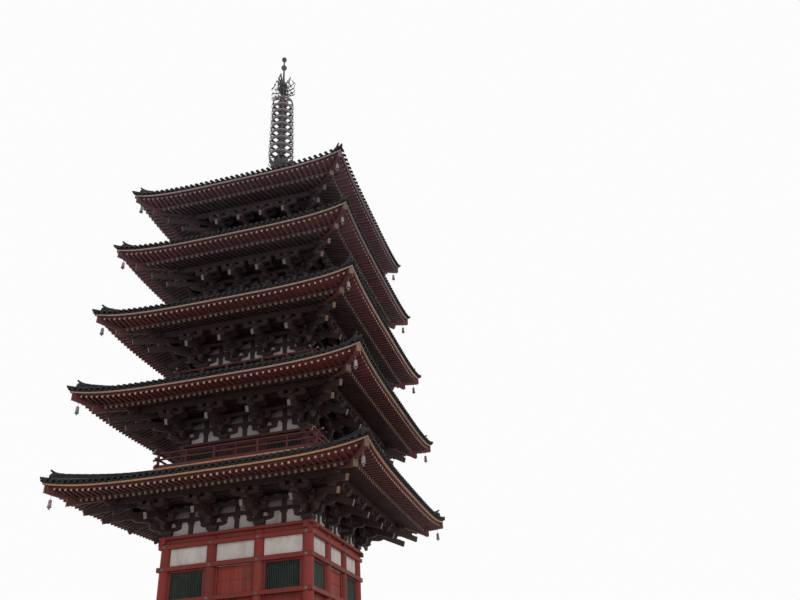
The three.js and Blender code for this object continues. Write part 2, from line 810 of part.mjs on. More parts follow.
for (const storey of storeys) {
  const level = new THREE.Group();
  level.position.z = storey.eaveHeight;
  if (storey.number > 1) level.add(makeDeck(storey), makeBalustrade(storey));
  level.add(makeWall(storey));
  if (storey.number > 1) level.add(makeUpperDoors(storey));
  else for (const [side, angle] of sides) level.add(makeGroundDoors(`${side}_doors`, storey, angle));
  level.add(makeBrackets(storey), makeEaves(storey), makeRoof(storey));
  pagoda.add(level);
}

const spire = new THREE.Group();
spire.position.z = eaveHeights[4];
spire.add(makeBasin(storeys[4]), makeBowl(), makeLotus(), makeRings());
spire.add(makeFlame(), makeBall(), makeJewel());
pagoda.add(spire);

export default pagoda;
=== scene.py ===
import math
import random
from types import SimpleNamespace

import bmesh
import bpy
import numpy as np
from mathutils import Matrix, Vector


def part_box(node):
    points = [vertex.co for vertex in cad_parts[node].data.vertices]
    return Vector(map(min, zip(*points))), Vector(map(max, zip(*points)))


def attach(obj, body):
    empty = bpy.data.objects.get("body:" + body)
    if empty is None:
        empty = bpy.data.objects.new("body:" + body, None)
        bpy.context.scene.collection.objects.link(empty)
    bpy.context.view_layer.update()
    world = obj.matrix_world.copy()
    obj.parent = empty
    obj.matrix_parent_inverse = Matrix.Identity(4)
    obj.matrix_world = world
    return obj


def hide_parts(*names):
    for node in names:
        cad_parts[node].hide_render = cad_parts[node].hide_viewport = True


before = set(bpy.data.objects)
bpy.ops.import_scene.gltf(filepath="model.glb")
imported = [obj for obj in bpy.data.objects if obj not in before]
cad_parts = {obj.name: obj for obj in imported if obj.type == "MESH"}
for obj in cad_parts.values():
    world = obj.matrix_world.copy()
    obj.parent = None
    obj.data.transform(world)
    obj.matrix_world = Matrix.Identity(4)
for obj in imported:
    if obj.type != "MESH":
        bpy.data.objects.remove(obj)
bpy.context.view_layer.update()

# The camera stands on lower ground in front of the tower and to its right, and looks up.
# Its place, its three angles and its lens were worked out from the eaves and rafter ends.
camera_place = (15.083, -34.229, -3.149)
turned_left, tilted_up, rolled = (math.radians(angle) for angle in (12.668, 30.730, -3.731))
camera_data = bpy.data.cameras.new("camera")
camera_data.sensor_width = 36
camera_data.lens = 33.185
camera_data.clip_end = 400
camera = bpy.data.objects.new("camera", camera_data)
camera.matrix_world = (
    Matrix.Translation(camera_place)
    @ Matrix.Rotation(turned_left, 4, "Z")
    @ Matrix.Rotation(math.pi / 2 + tilted_up, 4, "X")
    @ Matrix.Rotation(rolled, 4, "Z")
)
bpy.context.scene.collection.objects.link(camera)
bpy.context.scene.camera = camera

# The podium is a faced platform of dressed granite. Long plinth stones carry posts with
# panels between them, and a course of cap stones holds square paving stones on top.


def eased_corners(size, bevel):
    """The 24 points of a block: each corner gives one point to each face that meets there."""
    points = []
    for corner in range(8):
        outward = np.array([1 if corner & (4 >> axis) else -1 for axis in range(3)])
        for axis in range(3):
            point = outward * (np.array(size) / 2 - bevel)
            point[axis] = outward[axis] * size[axis] / 2
            points.append(point)
    return np.array(points)


def eased_faces():
    """The six faces, twelve eased edges and eight corners of a block, all facing out."""
    faces = [(3 * corner, 3 * corner + 1, 3 * corner + 2) for corner in range(8)]
    for axis in range(3):
        across = [other for other in range(3) if other != axis]
        first, second = (4 >> other for other in across)
        far = 4 >> axis
        for corner in (0, far):
            faces.append(tuple(3 * (corner + step) + axis for step in (0, first, first + second, second)))
        for low in (0, first, second, first + second):
            near_end = [3 * low + side for side in across]
            far_end = [3 * (low + far) + side for side in reversed(across)]
            faces.append((*near_end, *far_end))
    sample = eased_corners((2, 2, 2), 0.2)
    outward = []
    for face in faces:
        a, b, c = (sample[corner] for corner in face[:3])
        outward.append(face if np.cross(b - a, c - b) @ (a + b + c) > 0 else face[::-1])
    return outward


BLOCK_FACES = eased_faces()


def spin(angle):
    """The matrix that turns rows of points about an upright line."""
    cosine, sine = math.cos(angle), math.sin(angle)
    return np.array([[cosine, sine, 0], [-sine, cosine, 0], [0, 0, 1]])


def circle_angles(sides):
    return [2 * math.pi * side / sides for side in range(sides)]


def timber_axes(start, end):
    """The length of a timber and the directions across it and up."""
    length = np.linalg.norm(end - start)
    along = (end - start) / length
    across = np.cross(along, (0, 0, 1))
    across /= np.linalg.norm(across)
    return length, across, np.cross(across, along)


class Stock:
    """Cut parts gathered into one piece. Each part keeps its own grain and its own shade,
    which the seed decides."""

    def __init__(self, seed=0):
        self.chance = random.Random(seed)
        self.parts = []

    def add(self, points, faces, grain=None):
        points = np.asarray(points, float)
        self.parts.append((points, points if grain is None else np.asarray(grain, float), faces))

    def block(self, centre, size, bevel, turn=0.0):
        """A squared block with all its edges eased, turned about an upright line."""
        local = eased_corners(size, bevel)
        self.add(local @ spin(turn) + np.array(centre), BLOCK_FACES, local)

    def loft(self, rings, grain=None):
        """A solid through rings of points, each with the same number, closed at both ends."""
        count = len(rings[0])
        faces = []
        for low in range(0, (len(rings) - 1) * count, count):
            high = low + count
            for step in range(count):
                onward = (step + 1) % count
                faces.append((low + step, low + onward, high + onward, high + step))
        faces.append(tuple(reversed(range(count))))
        faces.append(tuple(range((len(rings) - 1) * count, len(rings) * count)))
        self.add(np.concatenate(rings), faces, grain)

    def beam(self, start, end, width, depth, bevel):
        """A squared timber with eased edges, whose centre line runs from start to end."""
        start, end = np.array(start, float), np.array(end, float)
        length, across, up = timber_axes(start, end)
        w, d, b = width / 2, depth / 2, bevel
        right = [(w - b, -d), (w, b - d), (w, d - b), (w - b, d)]
        outline = right + [(-a, c) for a, c in reversed(right)]
        rings = [[point + a * across + c * up for a, c in outline] for point in (start, end)]
        self.loft(np.array(rings), [(reach, a, c) for reach in (0, length) for a, c in outline])

    def spar(self, start, end, width, depth, taper):
        """A squared timber that thins towards its end to a share of its width and depth."""
        length, across, up = timber_axes(start, end)
        outline = [(a * width / 2, c * depth / 2) for a, c in ((1, -1), (1, 1), (-1, 1), (-1, -1))]
        rings = []
        for point, share in ((start, 1.0), (end, taper)):
            rings.append([point + share * (a * across + c * up) for a, c in outline])
        self.loft(np.array(rings), [(reach, a, c) for reach in (0, length) for a, c in outline])

    def slab(self, outline, thickness, place, turn=0.0):
        """A board cut to an outline of (outward, height) points, upright, turned about its origin."""
        rings = []
        for side in (thickness / 2, -thickness / 2):
            local = np.array([(out, side, height) for out, height in outline])
            rings.append(local @ spin(turn) + np.array(place))
        self.loft(rings, [(out, side, height) for side in (0, thickness) for out, height in outline])

    def turned(self, profile, sides, centre=(0, 0, 0)):
        """A round part from its profile of (radius, height) points, bottom to top."""
        rings = []
        for radius, height in profile:
            angles = circle_angles(sides)
            rings.append([(radius * math.cos(a), radius * math.sin(a), height) for a in angles])
        grain = [(z, x, y) for ring in rings for x, y, z in ring]
        self.loft(np.array(rings) + np.array(centre), grain)

    def laid(self, profile, sides, axes, place):
        """A round part laid over, with the directions that its own three axes then have."""
        part = Stock()
        part.turned(profile, sides)
        points, grain, faces = part.parts[0]
        self.add(points @ np.array(axes) + np.array(place), faces, grain)

    def rail(self, section, stations, place):
        """One side of a ring round the tower, mitred at its corners. The section's points are
        (inset, height, share of the corner rise), and place gives each one's point in space."""
        rings = [[place(station, *point) for point in section] for station in stations]
        grain = [(ring[0][0], *point[:2]) for ring in rings for point in section]
        self.loft(np.array(rings), grain)

    def level_rail(self, outer, inner, bottom, top, bevel=0.008):
        """One side of a squared rail that runs round the tower, with its outer and inner faces."""
        width = outer - inner
        section = [
            (bevel, bottom), (0, bottom + bevel), (0, top - bevel), (bevel, top),
            (width - bevel, top), (width, top - bevel), (width, bottom + bevel), (width - bevel, bottom),
        ]
        rings = []
        for side in (-1, 1):
            rings.append([(side * (outer - inset), inset - outer, height) for inset, height in section])
        grain = [(side * outer, inset, height) for side in (-1, 1) for inset, height in section]
        self.loft(np.array(rings), grain)

    def turn(self, angle):
        """All the parts so far, as a new stock turned about the upright line through its origin."""
        turned = Stock(self.chance.random())
        turned.parts = [(points @ spin(angle), grain, faces) for points, grain, faces in self.parts]
        return turned

    def move(self, offset):
        """All the parts so far, as a new stock moved by offset."""
        moved = Stock(self.chance.random())
        moved.parts = [(points + np.array(offset), grain, faces) for points, grain, faces in self.parts]
        return moved

    def take(self, other):
        self.parts += other.parts

    def repeat_on_four_sides(self):
        one_side = Stock()
        one_side.parts = list(self.parts)
        for side in (1, 2, 3):
            self.take(one_side.turn(side * math.pi / 2))

    def piece(self, name, finish, crease=35, closed=True):
        """The gathered parts as one Blender object of a finish, sharp where it bends by more
        than the crease."""
        points, grains, shades, faces = [], [], [], []
        count = 0
        for part_points, part_grain, part_faces in self.parts:
            shift = [self.chance.uniform(0, 30) for axis in range(3)]
            points.append(part_points)
            grains.append(part_grain + np.array(shift))
            shades.append(np.full(len(part_points), self.chance.random()))
            faces += [[corner + count for corner in face] for face in part_faces]
            count += len(part_points)
        mesh = bpy.data.meshes.new(name)
        mesh.from_pydata(np.concatenate(points).tolist(), [], faces)
        grain = mesh.attributes.new("grain", "FLOAT_VECTOR", "POINT")
        grain.data.foreach_set("vector", np.concatenate(grains).ravel())
        shade = mesh.attributes.new("shade", "FLOAT", "POINT")
        shade.data.foreach_set("value", np.concatenate(shades))
        if closed:
            shell = bmesh.new()
            shell.from_mesh(mesh)
            bmesh.ops.recalc_face_normals(shell, faces=shell.faces)
            shell.to_mesh(mesh)
            shell.free()
        mesh.polygons.foreach_set("use_smooth", [True] * len(mesh.polygons))
        mesh.set_sharp_from_angle(angle=math.radians(crease))
        mesh.materials.append(finish.material)
        obj = bpy.data.objects.new(name, mesh)
        bpy.context.scene.collection.objects.link(obj)
        return obj


class Value:
    """A socket of a finish. Arithmetic on it adds the nodes that work it out."""

    def __init__(self, finish, socket):
        self.finish = finish
        self.socket = socket

    def __add__(self, other):
        return self.finish.maths("ADD", self, other)

    __radd__ = __add__

    def __sub__(self, other):
        return self.finish.maths("SUBTRACT", self, other)

    def __rsub__(self, other):
        return self.finish.maths("SUBTRACT", other, self)

    def __mul__(self, other):
        return self.finish.maths("MULTIPLY", self, other)

    __rmul__ = __mul__


class Finish:
    """The look of one surface. Patterns follow the grain of each part, or its place."""

    def __init__(self, name):
        self.material = bpy.data.materials.new(name)
        self.material.use_nodes = True
        self.tree = self.material.node_tree
        self.shader = self.tree.nodes["Principled BSDF"]
        self.place = self.node("TexCoord", output="Object")
        self.grain = self.node("Attribute", {"attribute_name": "grain"}, output="Vector")
        self.shade = self.node("Attribute", {"attribute_name": "shade"}, output="Fac")

    def node(self, kind, settings=None, inputs=None, output=0):
        node = self.tree.nodes.new("ShaderNode" + kind)
        for name, value in (settings or {}).items():
            setattr(node, name, value)
        for name, value in (inputs or {}).items():
            self.feed(node.inputs[name], value)
        return Value(self, node.outputs[output])

    def feed(self, socket, value):
        if isinstance(value, Value):
            self.tree.links.new(value.socket, socket)
        else:
            socket.default_value = value

    def maths(self, operation, first, second):
        return self.node("Math", {"operation": operation}, {0: first, 1: second})

    def stretched(self, place, factors):
        return self.node("VectorMath", {"operation": "MULTIPLY"}, {0: place, 1: factors})

    def noise(self, place, scale, detail, roughness=0.5):
        return self.node("TexNoise", None, {
            "Vector": place, "Scale": scale, "Detail": detail, "Roughness": roughness,
        })

    def part_of(self, value, low, high):
        """0 where value is below low, 1 where it is above high, smooth between."""
        settings = {"interpolation_type": "SMOOTHSTEP"}
        return self.node("MapRange", settings, {"Value": value, "From Min": low, "From Max": high})

    def height(self):
        return self.node("SeparateXYZ", None, {0: self.place}, output="Z")

    def mix(self, first, second, factor, blend="MIX"):
        settings = {"data_type": "RGBA", "blend_type": blend, "clamp_result": blend != "MIX"}
        return self.node("Mix", settings, {0: factor, 6: first, 7: second}, output=2)

    def lighten(self, colour, low, high, factor):
        """The colour times a brightness that runs from low to high as factor goes from 0 to 1."""
        bright = factor * (high - low) + low
        tone = self.node("CombineColor", None, {0: bright, 1: bright, 2: bright})
        return self.mix(colour, tone, 1.0, "MULTIPLY")

    def surface(self, colour, roughness, bump=None, bump_depth=0.002, **constants):
        self.feed(self.shader.inputs["Base Color"], colour)
        self.feed(self.shader.inputs["Roughness"], roughness)
        if bump is not None:
            inputs = {"Height": bump, "Distance": bump_depth, "Strength": 1.0}
            self.feed(self.shader.inputs["Normal"], self.node("Bump", None, inputs))
        for name, value in constants.items():
            self.shader.inputs[name.replace("_", " ").title()].default_value = value


def paint(red, green, blue):
    """A colour as it looks on a screen, 0 to 255, as the light it gives back."""
    values = (red / 255, green / 255, blue / 255)
    linear = [v / 12.92 if v <= 0.04045 else ((v + 0.055) / 1.055) ** 2.4 for v in values]
    return (*linear, 1.0)


def dress(piece, slot, *nodes):
    """The piece rides with the tower and stands for the nodes named. The slot is not used."""
    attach(piece, "root")
    for node in nodes:
        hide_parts(node)


def dress_all_round(stock, name, finish, slot, *nodes, **edges):
    """One side's parts, repeated on all four sides and dressed as one piece."""
    stock.repeat_on_four_sides()
    dress(stock.piece(name, finish, **edges), slot, *nodes)


granite = Finish("granite")
speckle = granite.node("TexVoronoi", None, {"Vector": granite.place, "Scale": 95.0})
mica = granite.part_of(granite.noise(granite.place, 60.0, 4.0), 0.45, 0.62)
runs = granite.noise(granite.stretched(granite.place, (1, 1, 0.35)), 1.3, 5.0)
stain = granite.part_of(runs, 0.42, 0.68)
moss = granite.part_of(granite.noise(granite.place, 2.6, 6.0, 0.6), 0.55, 0.66)
granite_colour = granite.mix(paint(158, 153, 144), paint(126, 122, 116), mica)
granite_colour = granite.lighten(granite_colour, 0.72, 1.12, granite.shade)
granite_colour = granite.lighten(granite_colour, 1.0, 0.62, stain)
granite_colour = granite.mix(granite_colour, paint(92, 94, 72), moss * 0.45)
tooling = speckle * 0.5 + granite.noise(granite.grain, 14.0, 5.0)
granite.surface(granite_colour, 0.92 - 0.2 * mica, tooling, 0.006)

podium_half, podium_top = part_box("podium")[1].x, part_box("podium")[1].z
joint = 0.006
arris = 0.012  # how far the edges of the large stones and timbers are eased
plinth_top, plinth_depth = 0.17, 0.4
cap_bottom, cap_depth = podium_top - 0.18, 0.55
post_count, post_width, post_depth = 7, 0.3, 0.24
post_line, panel_line = podium_half - 0.16, podium_half - 0.2
panel_depth = 0.2
flags, flag_depth = 18, 0.1


def course(stock, bottom, top, depth, count):
    """A ring of stones, each side running past the next one's end."""
    length = (2 * podium_half - depth) / count
    for stone in range(count):
        x = -podium_half + (stone + 0.5) * length
        size = (length - joint, depth, top - bottom - joint)
        stock.block((x, -podium_half + depth / 2, (bottom + top) / 2), size, arris)


podium = Stock(1)
course(podium, 0, plinth_top, plinth_depth, 9)
course(podium, cap_bottom, podium_top, cap_depth, 8)
post_pitch = (2 * podium_half - 0.5) / post_count
middle = (plinth_top + cap_bottom) / 2
tall = cap_bottom - plinth_top - joint
for place in range(post_count + 1):
    x = -podium_half + 0.25 + place * post_pitch
    podium.block((x, -post_line, middle), (post_width, post_depth, tall), arris)
    if place < post_count:
        panel = (post_pitch - post_width - joint, panel_depth, tall)
        podium.block((x + post_pitch / 2, -panel_line, middle), panel, 0.008)
podium.repeat_on_four_sides()
paving_half = podium_half - cap_depth
flag = 2 * paving_half / flags
for row in range(flags):
    for column in range(flags):
        x, y = (-paving_half + (place + 0.5) * flag for place in (row, column))
        podium.block((x, y, podium_top - flag_depth / 2), (flag - joint, flag - joint, flag_depth), 0.006)
dress(podium.piece("podium_stones", granite), "stone", "podium")

# The packed earth and mortar inside the facing shows only as dark joints between the stones.
# It fills the whole podium, just short of the stones' outer faces.
mortar = Finish("mortar")
grit = mortar.noise(mortar.place, 40.0, 4.0)
mortar.surface(mortar.lighten(paint(84, 80, 72), 0.7, 1.2, grit), 0.95, grit, 0.01)
core_width = 2 * (podium_half - 0.09)
core = Stock(2)
core.block((0, 0, podium_top / 2 - 0.012), (core_width, core_width, podium_top - 0.04), 0.01)
dress(core.piece("podium_core", mortar), "stone")

# A flight of five granite treads stands against the middle of each side, between sloping
# cheek stones. Every tread is one long stone that tucks under the next.
treads = 5
rise = podium_top / (treads + 1)
tread_width, footing_width = 2.39, 2.3
cheek_width, cheek_line = 0.296, 1.35
cheek_foot = 0.24
for name, angle in (("front", 0), ("right", math.pi / 2), ("back", math.pi), ("left", -math.pi / 2)):
    reach = max(abs(value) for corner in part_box(f"{name}_steps") for value in corner)
    going = (reach - podium_half) / treads
    steps = Stock(10 + ord(name[0]))
    for tread in range(treads):
        out = podium_half + (tread + 0.5) * going
        top = podium_top - (tread + 1) * rise
        steps.block((0, -out + 0.02, top - rise / 2), (tread_width, going + 0.03, rise - 0.004), arris)
        if top - rise > 0.01:
            steps.block((0, -out, (top - rise) / 2), (footing_width, going - 0.01, top - rise), 0.01)
    inner = podium_half + 0.003
    cheek = [
        (inner, 0), (reach, 0), (reach, cheek_foot), (reach - going / 2, cheek_foot + 0.01),
        (inner, podium_top),
    ]
    for side in (-1, 1):
        steps.slab(cheek, cheek_width, (side * cheek_line, 0, 0), -math.pi / 2)
    dress(steps.turn(angle).piece(f"{name}_step_stones", granite), "stone", f"{name}_steps")

# Twelve round columns carry each storey, painted vermilion over Japanese cypress. Rails clasp
# them outside, tie beams pass through their heads, and a wall plate lies on top.
column_radius = 0.25
column_lines = (-1.5, -0.5, 0.5, 1.5)  # in bays from the middle of a side
jamb = 0.09
plate_depth, plate_overhang = 0.128, 0.285
plate_drop = 1.539  # from the eave line to the top of the wall plate
ground_head, ground_sill = 2.65, 1.45
tie_width, tie_depth, tie_reach = 0.19, 0.2, 0.42
rail_outer, rail_inner = 0.285, 0.1  # from the column line
storeys = []
for number in range(1, 6):
    wall_low, wall_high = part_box(f"wall_{number}")
    storey = SimpleNamespace(number=number, floor=wall_low.z, plate_top=wall_high.z)
    storey.plate_bottom = storey.plate_top - plate_depth
    storey.eave = storey.plate_top + plate_drop
    storey.wall = wall_high.x - plate_overhang
    storey.bay = storey.wall / 1.5
    storey.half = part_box(f"eaves_{number}")[1].x
    storey.opening = storey.bay - 2 * (column_radius + jamb)
    storey.head = ground_head if number == 1 else storey.plate_bottom - storey.floor - tie_depth
    storey.sill = ground_sill if number == 1 else 0.3 * storey.head
    storeys.append(storey)
ground_floor = storeys[0]


def dress_storey(stock, storey, name, finish, slot, node=None, **edges):
    """A storey's parts of one side, repeated on all four and dressed. The storey's number ends
    the piece's name and that of the node which it stands for."""
    nodes = [f"{node}_{storey.number}"] if node else []
    dress_all_round(stock, f"{name}_{storey.number}", finish, slot, *nodes, **edges)


def painted(name, fresh, faded, dirt, haze_tone=None):
    """Matt paint on timber: faded in patches, dusty along the grain, each part a shade apart.
    The last argument is a greyer tone mixed in towards the top of the tower: painted light,
    standing in for the haze and glare over the upper storeys."""
    finish = Finish(name)
    fibre = finish.noise(finish.stretched(finish.grain, (1.2, 22, 22)), 3.0, 4.0, 0.6)
    patch = finish.part_of(finish.noise(finish.place, 0.9, 5.0, 0.6), 0.4, 0.7)
    runs = finish.noise(finish.stretched(finish.place, (3.5, 3.5, 0.7)), 1.6, 5.0, 0.6)
    streak = finish.part_of(runs, 0.5, 0.75)
    speck = finish.part_of(finish.noise(finish.grain, 9.0, 6.0, 0.7), 0.58, 0.7)
    colour = finish.mix(paint(*fresh), paint(*faded), patch * 0.6 + fibre * 0.35)
    # Painted light: the colour turns greyer towards the top of the tower, for haze and glare.
    if haze_tone:
        haze_from, haze_to = 11.0, 27.0
        haze_share = finish.part_of(finish.height(), haze_from, haze_to)
        colour = finish.mix(colour, paint(*haze_tone), haze_share)
    colour = finish.lighten(colour, 0.78, 1.18, finish.shade)
    colour = finish.mix(colour, paint(*dirt), streak * 0.45 + speck * 0.35)
    relief = fibre + finish.noise(finish.grain, 18.0, 3.0) * 0.4
    finish.surface(colour, 0.62 + fibre * 0.25, relief, 0.004)
    return finish


vermilion = painted("vermilion", (126, 34, 26), (110, 46, 38), (64, 40, 36), (92, 44, 42))
# The upper storeys' walls and doors take a darker red than the ground storey's: painted shade, for the deep
# shade in which they stand.
shaded_wall_red = painted("shaded_wall_red", (64, 22, 19), (54, 27, 25), (36, 25, 24), (44, 26, 26))
shadow_red = painted("shadow_red", (72, 22, 20), (60, 28, 27), (39, 28, 28), (94, 69, 75))

gilt = Finish("gilt")
tarnish = gilt.part_of(gilt.noise(gilt.place, 22.0, 5.0, 0.6), 0.42, 0.66)
gilt_colour = gilt.mix(paint(116, 106, 102), paint(82, 75, 74), tarnish)
gilt_colour = gilt.lighten(gilt_colour, 0.85, 1.1, gilt.shade)
gilt.surface(gilt_colour, 0.5 + tarnish * 0.3, tarnish, 0.0015, metallic=0.15)


def raise_columns(stock, storey):
    """A side's columns but its last, which the next side has. Each is drawn in at its head."""
    tall = storey.plate_bottom - storey.floor
    drawn_in = [
        (0, 0), (0, 0.72 * tall), (0.006, tall - 0.16), (0.02, tall - 0.07), (0.05, tall - 0.02),
        (0.08, tall),
    ]
    profile = [(column_radius - less, height) for less, height in drawn_in]
    for line in column_lines[:-1]:
        stock.turned(profile, 28, (line * storey.bay, -storey.wall, storey.floor))


def frame_bays(stock, storey):
    """The jambs of a side's three openings, and the windows' sills, lintels and lower boards."""
    floor, wall, opening = storey.floor, storey.wall, storey.opening
    head, sill = floor + storey.head, floor + storey.sill
    for side in (-1, 0, 1):
        middle = side * storey.bay
        for edge in (-1, 1):
            x = middle + edge * (opening / 2 + jamb / 2)
            stock.block((x, -wall, (floor + head) / 2), (jamb + 0.01, 0.17, head - floor), 0.01)
        if side:
            stock.block((middle, -wall, sill - 0.035), (opening, 0.2, 0.07), 0.01)
            stock.block((middle, -wall, head - 0.03), (opening, 0.2, 0.06), 0.01)
            boards = max(3, round(opening / 0.19))
            width = opening / boards
            board = (width - 0.004, 0.06, sill - floor - 0.02)
            for place in range(boards):
                x = middle - opening / 2 + (place + 0.5) * width
                stock.block((x, -wall, (floor + sill) / 2), board, 0.005)


nail_cover = [(0.001, 0), (0.075, 0), (0.075, 0.008), (0.05, 0.02), (0.028, 0.03), (0.001, 0.034)]
TO_FRONT = ((1, 0, 0), (0, 0, 1), (0, -1, 0))  # lays a round part with its top facing the front
for storey in storeys:
    wall, floor, plate_bottom = storey.wall, storey.floor, storey.plate_bottom
    head, sill = floor + storey.head, floor + storey.sill
    frame_timber, nail_covers = Stock(100 + storey.number), Stock(110 + storey.number)
    raise_columns(frame_timber, storey)
    frame_timber.level_rail(wall + 0.1, wall - 0.1, floor, floor + min(0.2, sill - floor - 0.03))
    tie, half = plate_bottom - tie_depth / 2, wall + tie_reach
    frame_timber.beam((-half, -wall, tie), (half, -wall, tie), tie_width, tie_depth, arris)
    outer, inner = wall + plate_overhang, wall - plate_overhang
    frame_timber.level_rail(outer, inner, plate_bottom, storey.plate_top, arris)
    if storey.number == 1:
        rails = [
            (floor + 0.02, floor + 0.22), (sill - 0.19, sill), (head, head + 0.2),
            (plate_bottom - 0.42, plate_bottom - 0.24),
        ]
        for bottom, top in rails:
            frame_timber.level_rail(wall + rail_outer, wall + rail_inner, bottom, top, arris)
            for line in column_lines:
                place = (line * storey.bay, -(wall + rail_outer - 0.001), (bottom + top) / 2)
                nail_covers.laid(nail_cover, 6, TO_FRONT, place)
    frame_bays(frame_timber, storey)
    # Above the ground storey the walls take the darker red of painted shade.
    wall_paint = vermilion if storey.number == 1 else shaded_wall_red
    dress_storey(frame_timber, storey, "wall_timbers", wall_paint, "vermilion", "wall")
    if nail_covers.parts:
        dress_storey(nail_covers, storey, "nail_covers", gilt, "gilt")

# Each column of the ground storey stands on a round granite base stone, which is let into the
# paving and cut with a low rounded top.
bases = Stock(120)
for line in column_lines[:-1]:
    profile = [(0.38, -0.03), (0.38, 0.02), (0.33, 0.045), (0.3, 0.05), (0.2, 0.05)]
    bases.turned(profile, 28, (line * ground_floor.bay, -ground_floor.wall, ground_floor.floor))
dress_all_round(bases, "column_bases", granite, "stone")

# White lime plaster fills the ground storey's walls above its openings. It is laid in panels
# between the columns, behind the rails.


def limed(name, clean, sooty):
    """Lime plaster, left by the trowel in broad strokes, with soot in streaks."""
    finish = Finish(name)
    runs = finish.noise(finish.stretched(finish.place, (1, 1, 0.4)), 1.7, 6.0, 0.65)
    dark_marks = finish.part_of(runs, 0.42, 0.72)
    trowel = finish.noise(finish.place, 7.0, 5.0, 0.6)
    colour = finish.mix(paint(*clean), paint(*sooty), dark_marks * 0.6 + trowel * 0.2)
    colour = finish.lighten(colour, 0.9, 1.05, finish.shade)
    relief = trowel + finish.noise(finish.place, 60.0, 3.0) * 0.3
    finish.surface(colour, 0.9 - trowel * 0.1, relief, 0.004)
    return finish


plaster = limed("plaster", (206, 198, 194), (150, 142, 136))
panel_bottom = ground_floor.floor + ground_floor.head
panel_height = ground_floor.plate_bottom - panel_bottom
panel = (ground_floor.bay - 0.4, 0.1, panel_height)
panels = Stock(121)
for side in (-1, 0, 1):
    centre = (side * ground_floor.bay, -ground_floor.wall, panel_bottom + panel_height / 2)
    panels.block(centre, panel, 0.004)
dress_all_round(panels, "wall_plaster", plaster, "white_plaster")

# The windows have upright square bars of cypress, set cornerwise and let in at sill and lintel.
# They are painted dark green.
bar_green = painted("bar_green", (34, 52, 44), (48, 60, 52), (32, 34, 32))
bar_width, bar_pitch = 0.04, 0.085
for storey in storeys:
    bars = Stock(130 + storey.number)
    count = round(storey.opening / bar_pitch)
    middle = storey.floor + (storey.sill + storey.head) / 2
    bar = (bar_width, bar_width, storey.head - storey.sill - 0.05)
    for side in (-1, 1):
        for place in range(count):
            x = side * storey.bay - storey.opening / 2 + (place + 0.5) * storey.opening / count
            bars.block((x, -storey.wall, middle), bar, 0.004, math.pi / 4)
    dress_storey(bars, storey, "window_bars", bar_green, "vermilion")

# Every middle bay has a pair of board doors: upright planks between end battens, held by rows
# of iron studs, over a heavy threshold. A sill runs round the wall of each upper storey.
door_red = painted("door_red", (140, 40, 28), (120, 52, 40), (70, 44, 38))
iron = Finish("iron")
rust = iron.part_of(iron.noise(iron.place, 30.0, 5.0, 0.6), 0.5, 0.68)
iron_colour = iron.mix(paint(48, 46, 46), paint(92, 58, 42), rust * 0.6)
iron.surface(iron_colour, 0.5 + rust * 0.35, rust, 0.001, metallic=0.6)
planks = 4
studs = 5
pull_plate = (0.1, 0.012, 0.22)
sill_reach = column_radius + 0.07


def knob(radius):
    """The profile of a round-headed stud."""
    return [(radius * out, radius * height) for out, height in ((1, 0), (0.92, 0.4), (0.55, 0.8), (0.1, 1))]


def hang_doors(storey, leaves, irons):
    """The doors of the front, with their irons."""
    half = storey.opening / 2
    floor, y = storey.floor, -storey.wall
    rise = min(0.18, storey.head / 4)
    tall = storey.head - rise
    width = half / planks
    threshold = (2 * half - 0.004, sill_reach, rise)
    leaves.block((0, y - sill_reach / 2, floor + rise / 2), threshold, arris)
    batten = min(0.14, 0.16 * tall)
    for side in (-1, 1):
        for plank in range(planks):
            x = side * (plank + 0.5) * width
            leaves.block((x, y, floor + rise + tall / 2), (width - 0.004, 0.045, tall - 0.01), 0.005)
        for middle in (floor + rise + batten / 2 + 0.01, floor + storey.head - batten / 2 - 0.01):
            leaves.block((side * half / 2, y - 0.008, middle), (half - 0.01, 0.062, batten), 0.008)
            for stud in range(studs):
                x = side * half * (stud + 0.5) / studs
                irons.laid(knob(0.022), 8, TO_FRONT, (x, y - 0.038, middle))
    if storey.number == 1:
        for row in range(1, 4):
            height = floor + rise + tall * row / 4
            for side in (-1, 1):
                for stud in range(studs):
                    x = side * half * (stud + 0.5) / studs
                    irons.laid(knob(0.026), 8, TO_FRONT, (x, y - 0.022, height))
        for side in (-1, 1):
            irons.block((side * 0.09, y - 0.026, floor + 1.25), pull_plate, 0.004)


for storey in storeys:
    leaves, irons = Stock(140 + storey.number), Stock(150 + storey.number)
    hang_doors(storey, leaves, irons)
    if storey.number == 1:
        for turns, side in enumerate(("front", "right", "back", "left")):
            boards = leaves.turn(turns * math.pi / 2).piece(f"{side}_door_boards", door_red)
            dress(boards, "door_timber", f"{side}_doors")
    else:
        sill_outer, sill_inner = storey.wall + sill_reach, storey.wall + column_radius
        leaves.level_rail(sill_outer, sill_inner, storey.floor, storey.floor + 0.11, 0.01)
        # The upper doors take the darker red of painted shade.
        dress_storey(leaves, storey, "door_boards", shaded_wall_red, "door_timber", "doors")
    dress_storey(irons, storey, "door_irons", iron, "bronze")

